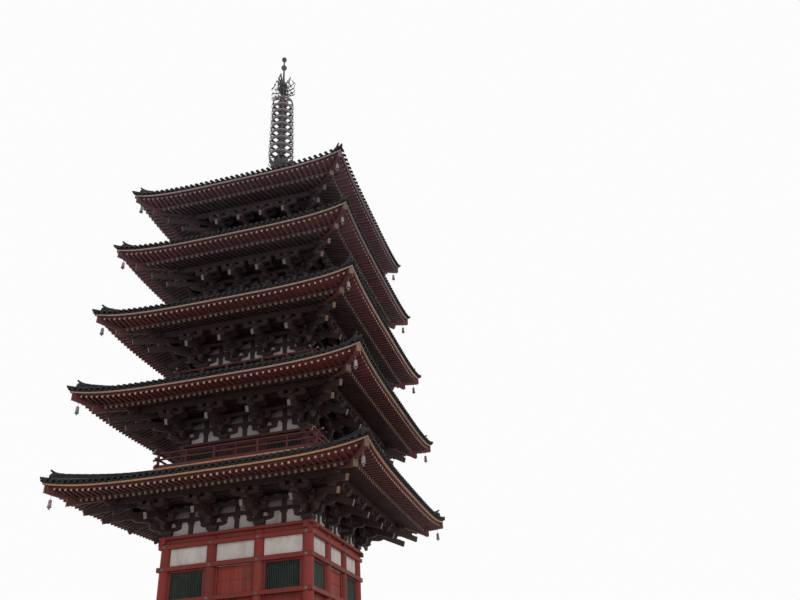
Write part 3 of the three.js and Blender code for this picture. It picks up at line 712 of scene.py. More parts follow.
# A deck of boards runs round each upper storey on the roof below. Its edge is closed by a red
# fascia over a pale trim board.
tan = painted("tan_paint", (170, 120, 90), (150, 112, 90), (98, 76, 62))
pale = painted("pale_paint", (166, 132, 117), (150, 121, 111), (96, 80, 75), (130, 117, 121))
rail_red = painted("rail_red", (88, 30, 33), (76, 38, 41), (52, 38, 40), (52, 35, 39))
deck_board, deck_thickness = 0.26, 0.05
trim_height = 0.085
for storey in storeys[1:]:
    low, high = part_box(f"deck_{storey.number}")
    reach, wall = high.x, storey.wall
    rim = reach - 0.1
    boards, trim = Stock(160 + storey.number), Stock(165 + storey.number)
    board_count = round(2 * rim / deck_board)
    width = 2 * rim / board_count
    for place in range(board_count):
        x = -rim + (place + 0.5) * width
        inner = max(wall - 0.12, abs(x) - 0.04)
        if rim - inner > 0.05:
            board = (width - 0.005, rim - inner, deck_thickness)
            boards.block((x, -(rim + inner) / 2, high.z - deck_thickness / 2), board, 0.005)
    corner = reach - 0.06
    boards.beam((-wall, -wall, high.z - 0.022), (-corner, -corner, high.z - 0.022), 0.2, 0.052, 0.006)
    boards.level_rail(reach, reach - 0.12, low.z + trim_height + 0.002, high.z - 0.006, 0.008)
    boards.level_rail(wall + 0.45, wall - 0.15, low.z + 0.002, high.z - deck_thickness, 0.004)
    boards.level_rail(reach - 0.12, wall + 0.44, low.z + 0.02, high.z - deck_thickness, 0.004)
    trim.level_rail(reach, reach - 0.11, low.z, low.z + trim_height, 0.006)
    dress_storey(boards, storey, "deck_boards", rail_red, "vermilion", "deck")
    dress_storey(trim, storey, "deck_trim", tan, "pale_paint")

# The balustrade has three rails between short posts. The rails cross at the corners and run
# on past them, and the round top rail turns up at its ends, capped in metal.
SQUARE = ((-1, -1), (1, -1), (1, 1), (-1, 1))  # the corners of a square of half-width 1
top_rail = 0.68  # height of its centre line above the deck
top_rail_radius = 0.05
rail_cap = [(0.054, 0), (0.058, 0.01), (0.058, 0.06), (0.05, 0.075), (0.02, 0.08)]


def lay_top_rail(stock, half_length, line, height):
    """The round rail, straight but for its two ends."""
    bend = 0.94
    ends = [bend + (1 - bend) * step / 4 for step in range(5)]
    rings = []
    for station in [-end for end in reversed(ends)] + ends:
        lift = 0.09 * max(0, (abs(station) - bend) / (1 - bend)) ** 2
        rings.append([(
            station * half_length, top_rail_radius * math.cos(angle) - line,
            height + lift + top_rail_radius * math.sin(angle),
        ) for angle in circle_angles(12)])
    stock.loft(np.array(rings))


def strut(stock, x, line, base):
    """A short strut under the top rail, that spreads to carry it."""
    stock.block((x, -line, base + 0.22), (0.07, 0.07, 0.26), 0.008)
    widening = ((0.025, 0.42), (0.027, 0.54), (0.05, 0.58), (0.05, 0.64))
    stock.loft(np.array([
        [(x + a * width, -line + c * width, base + height) for a, c in SQUARE] for width, height in widening
    ]))


for storey in storeys[1:]:
    low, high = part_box(f"balustrade_{storey.number}")
    line, base = high.x - 0.05, low.z
    rails, caps = Stock(170 + storey.number), Stock(175 + storey.number)
    for past, height, width, depth in ((0.2, 0.05, 0.12, 0.1), (0.26, 0.382, 0.09, 0.08)):
        left = (-line - past, -line, base + height)
        right = (line + past, -line, base + height + 0.006)  # clear of the next side's rail
        rails.beam(left, right, width, depth, 0.01)
    half_length = line + 0.32
    lay_top_rail(rails, half_length, line, base + top_rail)
    for side in (-1, 1):
        to_end = ((0, 0, 1), (0, 1, 0), (side, 0, 0))
        caps.laid(rail_cap, 12, to_end, (side * (half_length - 0.06), -line, base + top_rail + 0.075))
    posts = [-line, -0.535 * storey.bay, 0.535 * storey.bay]
    for x in posts:
        rails.block((x, -line, base + 0.32), (0.11, 0.11, 0.64), 0.01)
    for left, right in zip(posts, [*posts[1:], line]):
        strut(rails, (left + right) / 2, line, base)
    dress_storey(rails, storey, "balustrade_rails", rail_red, "vermilion", "balustrade")
    dress_storey(caps, storey, "rail_caps", gilt, "gilt")

# Three-stepped bracket sets carry the eaves: bearing blocks and arms step out from the wall
# plate, and a sloping tail rafter holds the eave purlin. All are pegged cypress, painted.
# The bracket timbers and the eave ceilings are painted a near-black red: painted shade, for the deep shade
# under the eaves.
deep_shade_red = painted("deep_shade_red", (44, 18, 15), (37, 21, 19), (27, 21, 20), (62, 50, 54))
# A darker, duller pale paint for the rafter ends deep under the eaves and for the corner caps: painted
# shade.
shaded_pale = painted("shaded_pale_paint", (112, 84, 68), (92, 72, 62), (58, 48, 42), (92, 79, 82))

pitch = 0.285  # the carpenter's module, from one rafter to the next
arm_width = 0.62 * pitch
step_reach = (1.9 * pitch, 3.85 * pitch, 6.0 * pitch)  # from the column line
set_foot = -5.4 * pitch  # this and the next six are heights from the eave line
lower_arm = (-4.45 * pitch, -3.85 * pitch)
lower_beam = (-3.25 * pitch, -2.6 * pitch)
upper_arm = (-1.7 * pitch, -1.05 * pitch)
upper_beam = (-0.45 * pitch, 0.2 * pitch)
outer_arm = (-1.9 * pitch, -1.3 * pitch)
tail_seat = -2.47 * pitch
tail_tip = (7.35 * pitch, -3.45 * pitch)
tail_slope = 0.36
tail_width, tail_depth = 0.5 * pitch, 0.95 * pitch
block_width, block_height = 1.05 * pitch, 0.58 * pitch
long_arm, short_arm = 2.3 * pitch, 1.85 * pitch  # half the length of an arm
root_two = math.sqrt(2)
slack = 0.006  # the right corner set stands off the next side's left one, where they cross


def bearing_block(stock, out, bottom, top, width=block_width, across=0):
    """A block whose lower half curves in to a narrower foot."""
    rings = []
    for share, spread in ((0, 0.72), (0.16, 0.75), (0.32, 0.85), (0.44, 1.0), (1.0, 1.0)):
        half = spread * width / 2
        height = bottom + share * (top - bottom)
        rings.append([(out + a * half, across + c * half, height) for a, c in SQUARE])
    stock.loft(np.array(rings))


def arm_end(reach, bottom, top):
    """The points of an arm's end, cut upright above and curved in below."""
    length, height = 1.7 * (top - bottom), 0.66 * (top - bottom)
    angles = [math.pi / 2 * step / 4 for step in range(5)]
    curve = [(reach - length * (1 - math.cos(a)), bottom + height * (1 - math.sin(a))) for a in angles]
    return [(reach, top), *curve]


def mirrored(end):
    """An arm's outline, from one end's points and the same ones at its other end."""
    return end + [(-out, height) for out, height in reversed(end)]


def cross_arm(stock, out, heights, half):
    """An arm that runs along the wall, with a block on its middle and one on each end."""
    bottom, top = heights
    stock.slab(mirrored(arm_end(half, bottom, top)), arm_width, (out, 0, 0), math.pi / 2)
    for side in (-1, 0, 1):
        across = side * (half - 0.48 * block_width)
        bearing_block(stock, out, top, top + block_height, across=across)


def outward_arm(stock, heights, reach):
    bottom, top = heights
    stock.slab(arm_end(reach, bottom, top) + [(-0.1, bottom), (-0.1, top)], arm_width, (0, 0, 0))


def tail_rafter(stock, caps, tip, slope, start):
    """A tail rafter that slopes down to its tip, with a cap plate on its end."""
    out, height = tip
    rise = slope * (out - start)
    stock.beam((start, 0, height + rise), (out, 0, height), tail_width, tail_depth, arris)
    lean = math.hypot(1, slope)
    ahead = Vector((1 / lean, 0, -slope / lean))
    face = Vector((out, 0, height))
    caps.beam(face + ahead * 0.001, face + ahead * 0.01, tail_width + 0.008, tail_depth + 0.008, arris)
    caps.beam(face + ahead * 0.01, face + ahead * 0.018, tail_width - 0.03, tail_depth - 0.05, 0.03)


def straight_set():
    """One set, with +X pointing out from the wall and heights from the eave line."""
    timbers, caps = Stock(), Stock()
    bearing_block(timbers, 0, set_foot, -4.4 * pitch, 1.85 * pitch)
    cross_arm(timbers, 0, lower_arm, long_arm)
    outward_arm(timbers, lower_arm, step_reach[0] + 0.42 * pitch)
    bearing_block(timbers, step_reach[0], lower_arm[1], lower_beam[0])
    cross_arm(timbers, step_reach[0], lower_beam, short_arm)
    outward_arm(timbers, lower_beam, step_reach[1] + 0.5 * pitch)
    bearing_block(timbers, 0, lower_beam[1], upper_arm[0], 1.5 * pitch)
    cross_arm(timbers, 0, upper_arm, long_arm)
    cross_arm(timbers, step_reach[1], (-1.75 * pitch, -1.2 * pitch), short_arm)
    tail_rafter(timbers, caps, tail_tip, tail_slope, 0.1)
    bearing_block(timbers, step_reach[2], tail_seat, outer_arm[0])
    cross_arm(timbers, step_reach[2], outer_arm, long_arm)
    nose = mirrored(arm_end(1.05 * pitch, *outer_arm))
    timbers.slab(nose, arm_width, (step_reach[2], 0, 0))
    return timbers, caps


def diagonal_set():
    """The extra arms and the two tail rafters under a hip, with +X along the diagonal."""
    timbers, caps = Stock(), Stock()
    inner, middle, outer = (root_two * reach for reach in step_reach)
    outward_arm(timbers, lower_arm, inner + 0.5 * pitch)
    bearing_block(timbers, inner, lower_arm[1], lower_beam[0])
    outward_arm(timbers, lower_beam, middle + 0.5 * pitch)
    upper_tip = (root_two * 9.4 * pitch, -2.4 * pitch)
    tail_rafter(timbers, caps, (root_two * tail_tip[0], tail_tip[1]), tail_slope / root_two, 0.2)
    tail_rafter(timbers, caps, upper_tip, tail_slope / root_two, 1.0)
    bearing_block(timbers, outer, tail_seat, -1.75 * pitch)
    bearing_block(timbers, outer + 0.4, -0.9 * pitch, -0.2 * pitch)
    return timbers, caps


purlins = (  # reach, bottom, top and width
    (step_reach[0], -2.02 * pitch, -1.4 * pitch, arm_width),
    (step_reach[1], -0.62 * pitch, -0.05 * pitch, arm_width),
    (step_reach[2], -0.72 * pitch, 0.22 * pitch, 0.23),
)
for storey in storeys:
    wall, bay, eave = storey.wall, storey.bay, storey.eave
    timbers, caps, hip_caps = (Stock(seed + storey.number) for seed in (200, 210, 335))
    for line in column_lines:
        off = slack if line == column_lines[-1] else 0
        place = (line * bay - off, off - wall, eave - off)
        for whole, share in zip((timbers, caps), straight_set()):
            whole.take(share.turn(-math.pi / 2).move(place))
    for whole, share in zip((timbers, hip_caps), diagonal_set()):
        whole.take(share.turn(-3 * math.pi / 4).move((-wall, -wall, eave)))
    for bottom, top in (lower_beam, upper_beam):
        timbers.level_rail(wall + arm_width / 2, wall - arm_width / 2, eave + bottom, eave + top)
    for reach, bottom, top, width in purlins:
        line = wall + reach
        middle = eave + (bottom + top) / 2
        left, right = (-line - 0.34, -line, middle - slack), (line + 0.34, -line, middle + slack)
        timbers.beam(left, right, width, top - bottom, arris)
    for side in (-1, 0, 1):
        for bottom, top in ((set_foot, lower_arm[1]), (lower_beam[1], upper_arm[1])):
            place = (side * bay, -wall, eave + (bottom + top) / 2)
            timbers.block(place, (0.8 * pitch, arm_width, top - bottom), 0.01)
            block = Stock()
            bearing_block(block, 0, top, top + block_height)
            timbers.take(block.move((side * bay, -wall, eave)))
    dress_storey(timbers, storey, "bracket_timbers", deep_shade_red, "dark_vermilion", "brackets")
    dress_storey(caps, storey, "tail_caps", gilt, "gilt")
    # The corner tail caps take the darker pale paint of painted shade.
    dress_storey(hip_caps, storey, "corner_tail_caps", shaded_pale, "pale_paint")

# Plaster closes the wall between the arms, from the wall plate to the upper of the two beams.
# All of it is painted a shaded tone, and what lies above the lower beam darker still: painted
# shade, for the deep shade behind the ceiling.
plaster_half = 0.045
shaded_plaster = limed("shaded_plaster", (170, 162, 161), (122, 115, 113))
deep_shade_plaster = limed("deep_shade_plaster", (120, 114, 114), (78, 74, 74))
for storey in storeys:
    for name, finish, bottom, top in (
        ("bracket_plaster", shaded_plaster, set_foot, lower_beam[0] + 0.04),
        ("upper_plaster", deep_shade_plaster, lower_beam[0] + 0.06, upper_beam[0] + 0.02),
    ):
        infill = Stock(220 + storey.number)
        outer, inner = storey.wall + plaster_half, storey.wall - plaster_half
        infill.level_rail(outer, inner, storey.eave + bottom, storey.eave + top, 0.002)
        dress_storey(infill, storey, name, finish, "white_plaster")

# A latticed ceiling of thin battens under boards spans from the wall to the second step. Ribs
# rise from there to the purlin, under a cove of boards.
batten_width, batten_depth = 0.045, 0.04
rib_width, rib_depth = 0.05, 0.06
cove_section = [(0, 0), (0, 0.02), (1.9 * pitch, -0.12), (1.9 * pitch, -0.14)]  # inset, height
for storey in storeys:
    wall, eave = storey.wall, storey.eave
    lattice = Stock(230 + storey.number)
    outer, purlin = wall + step_reach[1], wall + 5.75 * pitch
    board_height = eave - 0.55 * pitch
    lattice.level_rail(outer, wall + 0.05, board_height, board_height + 0.02, 0.001)
    for line in (1.0, 2.85):
        reach = wall + line * pitch
        lattice.level_rail(reach + 0.025, reach - 0.025, board_height - 0.035, board_height, 0.004)
    battens = int(2 * outer / pitch)
    for batten in range(battens):
        x = (batten - (battens - 1) / 2) * pitch
        inner = max(wall + 0.06, abs(x))
        if outer - inner > 0.06:
            place = (x, -(inner + outer) / 2, board_height - 0.015)
            lattice.block(place, (batten_width, outer - inner, batten_depth), 0.003)
            foot, head = (x, -outer, eave - 0.25 * pitch), (x, -purlin, eave + 0.12 * pitch)
            lattice.beam(foot, head, rib_width, rib_depth, 0.004)
    cove = []
    for side in (-1, 1):
        reaches = [purlin - inset for inset, height in cove_section]
        heights = [eave + 0.3 * pitch + height for inset, height in cove_section]
        cove.append([(side * reach, -reach, height) for reach, height in zip(reaches, heights)])
    lattice.loft(np.array(cove), [(x, z, y) for row in cove for x, y, z in row])
    # The ceiling takes the near-black red of painted shade.
    dress_storey(lattice, storey, "eave_ceiling", deep_shade_red, "dark_vermilion")

# The eaves have two tiers of square rafters, base rafters from the wall and flying rafters
# beyond them, with a pale painted end on each. Boards lie on both tiers.
# The boards between the flying rafters take a brighter red: painted light, for the light that the ground
# throws up between the rafters.
lit_board_red = painted("lit_board_red", (112, 24, 18), (90, 30, 27), (52, 30, 28), (88, 61, 67))
# The eave beam takes a deep saturated red: its own paint, made darker as painted shade of its recess under
# the eave board.
shaded_beam_red = painted("shaded_beam_red", (70, 14, 9), (58, 20, 15), (36, 21, 18), (60, 32, 33))
# The base tier takes a darker red than the flying rafters: painted shade, for its place deeper under the
# eave.
shaded_base_red = painted("shaded_base_red", (56, 23, 19), (47, 26, 24), (33, 26, 25), (85, 69, 73))
rafter_size = 0.4 * pitch
flying_tip, base_tip, level_line = 0.137, 0.884, 2.1  # insets from the eave line
tip_share = 0.25  # of the eave's rise to its corner, at the base rafters' tips
base_foot, base_slope = -1.15 * pitch, 0.33
flying_taper, base_taper = 0.74, 0.94
let_in = rafter_size * 0.2  # the rafters are let into the boards above them
board_top = 0.03


def corner_rise(station):
    """How far the eave curves up, from the middle of a side, 0, to its corner, 1."""
    return pitch * (1.306 * abs(station) ** 3.55 + 0.234 * abs(station) ** 10)


def flying_place(storey, x, inset):
    """Height of a flying rafter's centre line above the eave line."""
    share = (inset - flying_tip) / (base_tip - flying_tip)
    station = min(1, abs(x) / (storey.half - inset))
    height = -0.7 * pitch + share * 0.2 * pitch
    return height + (1 - (1 - tip_share) * share) * corner_rise(station)


def base_place(storey, x, inset):
    """Height of a base rafter's centre line above the eave line."""
    station = min(1, abs(x) / (storey.half - inset))
    share = tip_share * max(0, (level_line - inset) / (level_line - base_tip))
    return base_foot + base_slope * (inset - base_tip) + share * corner_rise(station)


def eave_point(storey):
    """The place function of the rails and boards that follow the eave."""
    def place(station, inset, height, share):
        reach = storey.half - inset
        return (station * reach, -reach, storey.eave + height + share * corner_rise(station))
    return place


def lay_rafter(tier, ends, inner, tip, taper):
    """A rafter that thins towards its tip, with a pale painted end."""
    tier.spar(inner, tip, rafter_size, rafter_size * 1.08, taper)
    ahead = (tip - inner) / np.linalg.norm(tip - inner)
    width = taper * rafter_size + 0.003
    ends.beam(tip, tip + ahead * 0.012, width, width * 1.1, 0.004)


eave_stations = [math.sin(math.pi / 2 * step / 16) for step in range(-16, 17)]
flying_boards = [
    (0.4, -0.63 * pitch + let_in, 0.736), (0.17, -0.7 * pitch + 0.45 * rafter_size, 1), (0.17, -0.03, 1),
    (base_tip + 0.1, -0.04, tip_share), (base_tip + 0.1, -0.5 * pitch + let_in, tip_share),
]
shadow_board = [
    (base_tip + inset, height, tip_share)
    for inset, height in ((0.09, -0.3), (0.09, -0.05), (0.14, -0.05), (0.14, -0.3))
]
end_batten = [
    (base_tip + inset, height, tip_share)
    for inset, height in ((-0.02, -0.268), (-0.02, -0.19), (0.1, -0.19), (0.1, -0.25))
]
eave_beam = [
    (inset, height, 1)
    for inset, height in (
        (0.077, -0.047), (0.077, -0.062), (0.15, -0.066), (0.16, -0.155), (0.27, -0.15), (0.28, -0.029),
    )
]
for storey in storeys:
    half, wall, eave = storey.half, storey.wall, storey.eave
    rafters, base_tier, tips, base_ends, boards, beams = (
        Stock(seed + storey.number) for seed in (300, 305, 310, 315, 325, 345)
    )
    count = int(2 * (half / pitch - 1.6)) + 1
    for rafter in range(count):
        x = (rafter - (count - 1) / 2) * pitch
        tiers = [(rafters, tips, flying_place, flying_tip, base_tip + 0.1, flying_taper)]
        if abs(x) < half - 4.2 * pitch:
            tiers.append((base_tier, base_ends, base_place, base_tip, half - wall - 0.05, base_taper))
        for tier, ends, height, tip, end, taper in tiers:
            insets = (min(end, half - abs(x)), tip)
            points = [(x, inset - half, eave + height(storey, x, inset)) for inset in insets]
            inner, outer = np.array(points)
            lay_rafter(tier, ends, inner, outer, taper)
    under = base_foot + let_in
    slope = [(base_tip + 0.02, under, tip_share)]
    slope += [(inset, under + base_slope * (inset - base_tip), 0) for inset in (level_line, half - wall)]
    base_boards = slope + [(inset, height + board_top, share) for inset, height, share in reversed(slope)]
    for stock, section in (
        (boards, flying_boards), (base_tier, shadow_board), (base_tier, end_batten),
        (base_tier, base_boards), (beams, eave_beam),
    ):
        stock.rail(section, eave_stations, eave_point(storey))
    dress_storey(rafters, storey, "rafters", shadow_red, "dark_vermilion", "eaves")
    dress_storey(base_tier, storey, "base_rafters", shaded_base_red, "dark_vermilion")
    dress_storey(beams, storey, "eave_beams", shaded_beam_red, "dark_vermilion")
    dress_storey(boards, storey, "flying_boards", lit_board_red, "dark_vermilion")
    dress_storey(tips, storey, "flying_rafter_ends", pale, "pale_paint")
    # The base rafter ends take the darker pale paint of painted shade.
    dress_storey(base_ends, storey, "base_rafter_ends", shaded_pale, "pale_paint")

# A pale board runs along each eave under the tiles, painted, with a moulded front. It rests on
# the flying rafters' boards and curves up with them to the corners.
eave_edge = [
    (0, -0.052, 1), (-0.004, -0.014, 1), (0, 0.014, 1), (0.22, 0.016, 1), (0.22, -0.028, 1),
    (0.075, -0.048, 1),
]
for storey in storeys:
    eave_board = Stock(320 + storey.number)
    eave_board.rail(eave_edge, eave_stations, eave_point(storey))
    dress_storey(eave_board, storey, "eave_board", tan if storey.number == 1 else pale, "pale_paint")

# Two deep hip rafters lie one on the other under each corner, each with a pale cap on its end,
# and a bronze wind bell hangs from the upper one. The caps are painted darker as painted shade.
hip_red = painted("hip_red", (78, 23, 21), (65, 28, 28), (42, 28, 29), (76, 41, 47))
# The wind bells and the fronts of the ring hoops take a lighter copy of the bronze: painted light, for the
# sky light that the metal catches.
lit_bronze = Finish("lit_bronze")
rubbed = lit_bronze.part_of(lit_bronze.noise(lit_bronze.place, 7.0, 5.0, 0.6), 0.4, 0.66)
streaks = lit_bronze.noise(lit_bronze.stretched(lit_bronze.place, (9, 9, 1.5)), 2.0, 4.0)
bell_colour = lit_bronze.mix(paint(146, 130, 135), paint(92, 88, 92), rubbed * 0.6 + streaks * 0.3)
bell_colour = lit_bronze.lighten(bell_colour, 0.85, 1.1, lit_bronze.shade)
lit_bronze.surface(bell_colour, 0.5, streaks, 0.002, metallic=0.2)
base_hip_width, flying_hip_width = 0.2, 0.18
bell_line, bell_hook = 0.3, -0.05  # inset and height of the bells' hooks


def wind_bell():
    """A bell with its hook above and its clapper and wind plate below, heights from the eave."""
    bell = Stock()
    bell.turned([(0.008, -0.2), (0.008, 0.14)], 6)
    inside = [(0.01, -0.23), (0.06, -0.27), (0.066, -0.42), (0.076, -0.5), (0.098, -0.537)]
    outside = [
        (0.102, -0.53), (0.084, -0.49), (0.078, -0.42), (0.074, -0.32), (0.068, -0.23), (0.05, -0.205),
        (0.012, -0.2),
    ]
    bell.turned(inside + outside, 18)
    bell.turned([(0.006, -0.56), (0.006, -0.24)], 5)
    bell.turned([(0.01, -0.49), (0.024, -0.475), (0.024, -0.455), (0.01, -0.44)], 8)
    left = [(-0.04, -0.53), (-0.06, -0.55), (-0.04, -0.575), (-0.055, -0.65)]
    bell.slab(left + [(0, -0.62)] + [(-out, height) for out, height in reversed(left)], 0.008, (0, 0, 0))
    return bell


def hip_rafter(stock, caps, outline, width, half):
    """A deep rafter along the diagonal, from its (inset, bottom, top) points, with a capped end."""
    w, ease = width / 2, 0.01
    rings = []
    for inset, bottom, top in outline:
        out = root_two * (half - inset)
        rings.append([(out, across, height) for across, height in (
            (-w + ease, bottom), (w - ease, bottom), (w, bottom + ease), (w, top - ease),
            (w - ease, top), (-w + ease, top), (-w, top - ease), (-w, bottom + ease),
        )])
    stock.loft(np.array(rings))
    inset, bottom, top = outline[0]
    out, depth, middle = root_two * (half - inset), top - bottom, (bottom + top) / 2
    caps.block((out + 0.002, 0, middle), (0.03, width + 0.03, depth + 0.03), 0.006)
    caps.block((out - 0.12, 0, middle + depth * 0.02), (0.02, width + 0.016, depth + 0.016), 0.003)


def dress_corners(stock, storey, name, finish, slot, **edges):
    """One corner's parts, made along +X, set on the diagonal and repeated on all four."""
    corner = stock.turn(math.pi / 4).move((0, 0, storey.eave))
    corner.chance = stock.chance
    dress_storey(corner, storey, name, finish, slot, **edges)


flying_hip = [
    (0.07, 0.04, 0.36), (0.3, -0.05, 0.32), (0.55, -0.13, 0.26), (0.85, -0.2, 0.22), (1.15, -0.21, 0.2),
]
for storey in storeys:
    half, run = storey.half, storey.half - storey.wall
    hips, caps, bells = (Stock(seed + storey.number) for seed in (330, 335, 340))
    base_hip = [(0.77, -0.47, -0.15), (1.4, -0.257, 0.063), (2.06, -0.034, 0.286), (run, 0.608, 0.92)]
    hip_rafter(hips, caps, base_hip, base_hip_width, half)
    hip_rafter(hips, caps, flying_hip, flying_hip_width, half)
    bells.take(wind_bell().turn(0.6).move((root_two * (half - bell_line), 0, bell_hook)))
    dress_corners(hips, storey, "hip_rafters", hip_red, "dark_vermilion")
    dress_corners(caps, storey, "hip_caps", shaded_pale, "pale_paint")
    dress_corners(bells, storey, "wind_bells", lit_bronze, "bronze")

# The roofs are laid with fired clay tiles on a bed of clay: concave pan tiles, with rows of
# half-round tiles over their joints. Each course laps the one below it.
tile = Finish("tile")
kiln = tile.noise(tile.place, 3.0, 5.0, 0.6)
lichen = tile.part_of(tile.noise(tile.place, 5.0, 7.0, 0.7), 0.57, 0.66)
grime = tile.part_of(tile.noise(tile.grain, 7.0, 5.0, 0.6), 0.5, 0.72)
tile_colour = tile.mix(paint(29, 28, 30), paint(20, 20, 21), kiln)
tile_colour = tile.lighten(tile_colour, 0.66, 1.3, tile.shade)
tile_colour = tile.mix(tile_colour, paint(25, 26, 25), grime * 0.6)
tile_colour = tile.mix(tile_colour, paint(88, 92, 84), lichen * 0.2)
sand = tile.noise(tile.place, 70.0, 3.0)
tile.surface(tile_colour, 0.6 + kiln * 0.25 + lichen * 0.1, kiln * 0.5 + sand * 0.3, 0.004)
# The round faces of the end tiles take a darker copy of the tile: painted shade.
shaded_tile = Finish("shaded_tile")
dark_marks = shaded_tile.noise(shaded_tile.grain, 8.0, 5.0, 0.6)
shaded_tile_colour = shaded_tile.mix(paint(23, 23, 24), paint(14, 14, 15), dark_marks)
shaded_tile_colour = shaded_tile.lighten(shaded_tile_colour, 0.75, 1.2, shaded_tile.shade)
shaded_tile.surface(shaded_tile_colour, 0.75 + dark_marks * 0.2, dark_marks, 0.003)

edge_top = 0.328  # crest of the tiles at the eave line
edge_drop, drop_reach = 0.06, 1.5  # the last courses lie flatter, so their edge is this much lower
overhang = 0.128
pan_edge = -0.09  # inset of the pan tiles' lips, behind the ends of the round tiles
rise_reach = 3.3  # how far in from the eave the corners' rise is felt
row_pitch = 0.3
course_length = 0.33
roll_radius = 0.08
pan_depth, pan_hollow = 0.195, 0.05
eave_lip, course_lip, lip_thickness = 0.045, 0.022, 0.03
tile_crease = 40
end_tile_profile = [  # as shares of its radius, and heights from its back to its face
    (0.9, -0.03), (1, -0.02), (1, 0.012), (0.78, 0.014), (0.7, 0.004), (0.4, 0.006), (0.2, 0.014),
]


def rise_share(inset):
    return max(0, 1 - max(inset, 0) / rise_reach) ** 2


def fall(storey, inset):
    """Height of the crest of the round tiles above the eave line, in the middle of a side."""
    drop = edge_drop * max(0, 1 - max(inset, 0) / drop_reach) ** 2
    return edge_top - drop + storey.slope * inset + storey.curve * inset ** 2


def crest(storey, x, inset):
    """The same at any place along the side."""
    station = min(1, abs(x) / (storey.half - inset))
    return fall(storey, inset) + rise_share(inset) * corner_rise(station)


def tile_frame(storey, x, inset):
    """A point of the tiles' crest, and the direction out of the tiles there."""
    height = crest(storey, x, inset)
    slope = (crest(storey, x, inset + 0.05) - height) / 0.05
    lean = math.hypot(1, slope)
    return np.array((x, inset - storey.half, storey.eave + height)), np.array((0, -slope / lean, 1 / lean))


def courses(start, end):
    """The insets of the front and the back of each tile in a row, from the eave up."""
    count = max(1, math.ceil((end - start) / course_length))
    step = (end - start) / count
    return [(start + number * step, start + (number + 1) * step) for number in range(count)]


def lay_roll(stock, storey, x, start, end):
    """A row of half-round tiles from the eave up, each one over the narrow end of the last."""
    sides = 6
    for front, back in courses(start, end):
        points = []
        for inset, radius in ((front, roll_radius), (back + 0.02, roll_radius * 0.9)):
            place, out = tile_frame(storey, x, min(inset, end))
            centre = place - out * roll_radius
            for side in range(sides + 1):
                angle = math.pi * (1.12 * side / sides - 0.06)
                around = math.cos(angle) * np.array((1, 0, 0)) + math.sin(angle) * out
                points.append(centre + radius * around)
        above = sides + 1
        faces = [(side, above + side, above + side + 1, side + 1) for side in range(sides)]
        faces.append(tuple(range(above)))
        stock.add(points, faces)


def lay_pan(stock, storey, x, start, end):
    """A row of concave tiles between two rolls, with a turned-down lip at the eave."""
    for front, back in courses(start, end):
        at_eave = front == start
        points = []
        for inset, lift in ((front, 0.02), (back, 0.0)):
            for offset in (-0.5, -0.3, 0, 0.3, 0.5):
                place, out = tile_frame(storey, x + offset * row_pitch, min(inset, end))
                points.append(place - out * (pan_depth - pan_hollow * (2 * offset) ** 2 - lift))
        lip = [point - (0, 0, eave_lip if at_eave else course_lip) for point in points[:5]]
        points += lip
        faces = []
        for side in range(4):
            faces.append((side, side + 1, 6 + side, 5 + side))
            faces.append((10 + side, 11 + side, side + 1, side))
        if at_eave:  # only this lip is seen from below
            points += [point + (0, lip_thickness, 0) for point in lip]
            faces += [(15 + side, 16 + side, 11 + side, 10 + side) for side in range(4)]
        stock.add(points, faces)


def end_tile(stock, storey, x):
    """The round face of a roll's first tile: a raised rim round a sunk field with a boss."""
    place, out = tile_frame(storey, x, -overhang)
    profile = [((roll_radius + 0.006) * share, height) for share, height in end_tile_profile]
    stock.laid(profile, 12, TO_FRONT, place + (0, 0.015, -roll_radius))


for storey in storeys:
    lower = storey.number < 5
    storey.slope, storey.curve = (0.27, 0.016) if lower else (0.42, 0.0474)
    # Half the width of what stands on the roof: the next storey's walls, or the spire's basin.
    storey.above = storeys[storey.number].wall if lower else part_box("dew_basin")[1].x
    storey.tiles_end = storey.half - storey.above - (0.855 if lower else 0.004)
    tiles, ends = Stock(400 + storey.number), Stock(405 + storey.number)
    rows = int(2 * (storey.half + overhang - 0.1) / row_pitch)
    for row in range(rows):
        x = (row - (rows - 1) / 2) * row_pitch
        end = min(storey.tiles_end, max(0.0, storey.half - abs(x) - 0.02))
        lay_roll(tiles, storey, x, 0.02 - overhang, end)
        end_tile(ends, storey, x)
    for row in range(rows + 1):
        x = (row - rows / 2) * row_pitch
        end = min(storey.tiles_end, storey.half - abs(x) + 0.1)
        if end > pan_edge + 0.05:
            lay_pan(tiles, storey, x, pan_edge, end)
    # The end tiles take the darker tile of painted shade.
    dress_storey(ends, storey, "end_tiles", shaded_tile, "tile", crease=tile_crease, closed=False)
    dress_storey(tiles, storey, "roof_tiles", tile, "tile", "roof", crease=tile_crease, closed=False)

# A bed of packed clay lies under the tiles of each roof. It is laid up in the curve that the
# tiles then follow.
bed_top, bed_depth = 0.215, 0.07  # how far its top lies below the tiles' crest, and its thickness
for storey in storeys:
    bed = Stock(410 + storey.number)
    insets = [0.06, 0.4, 0.9, 1.5, 2.2, 3.0, storey.tiles_end - 0.01]
    upper = [(inset, fall(storey, inset) - bed_top, rise_share(inset)) for inset in insets]
    under = [(inset, height - bed_depth, share) for inset, height, share in reversed(upper)]
    bed.rail(upper + under, eave_stations, eave_point(storey))
    dress_storey(bed, storey, "roof_bed", mortar, "tile")

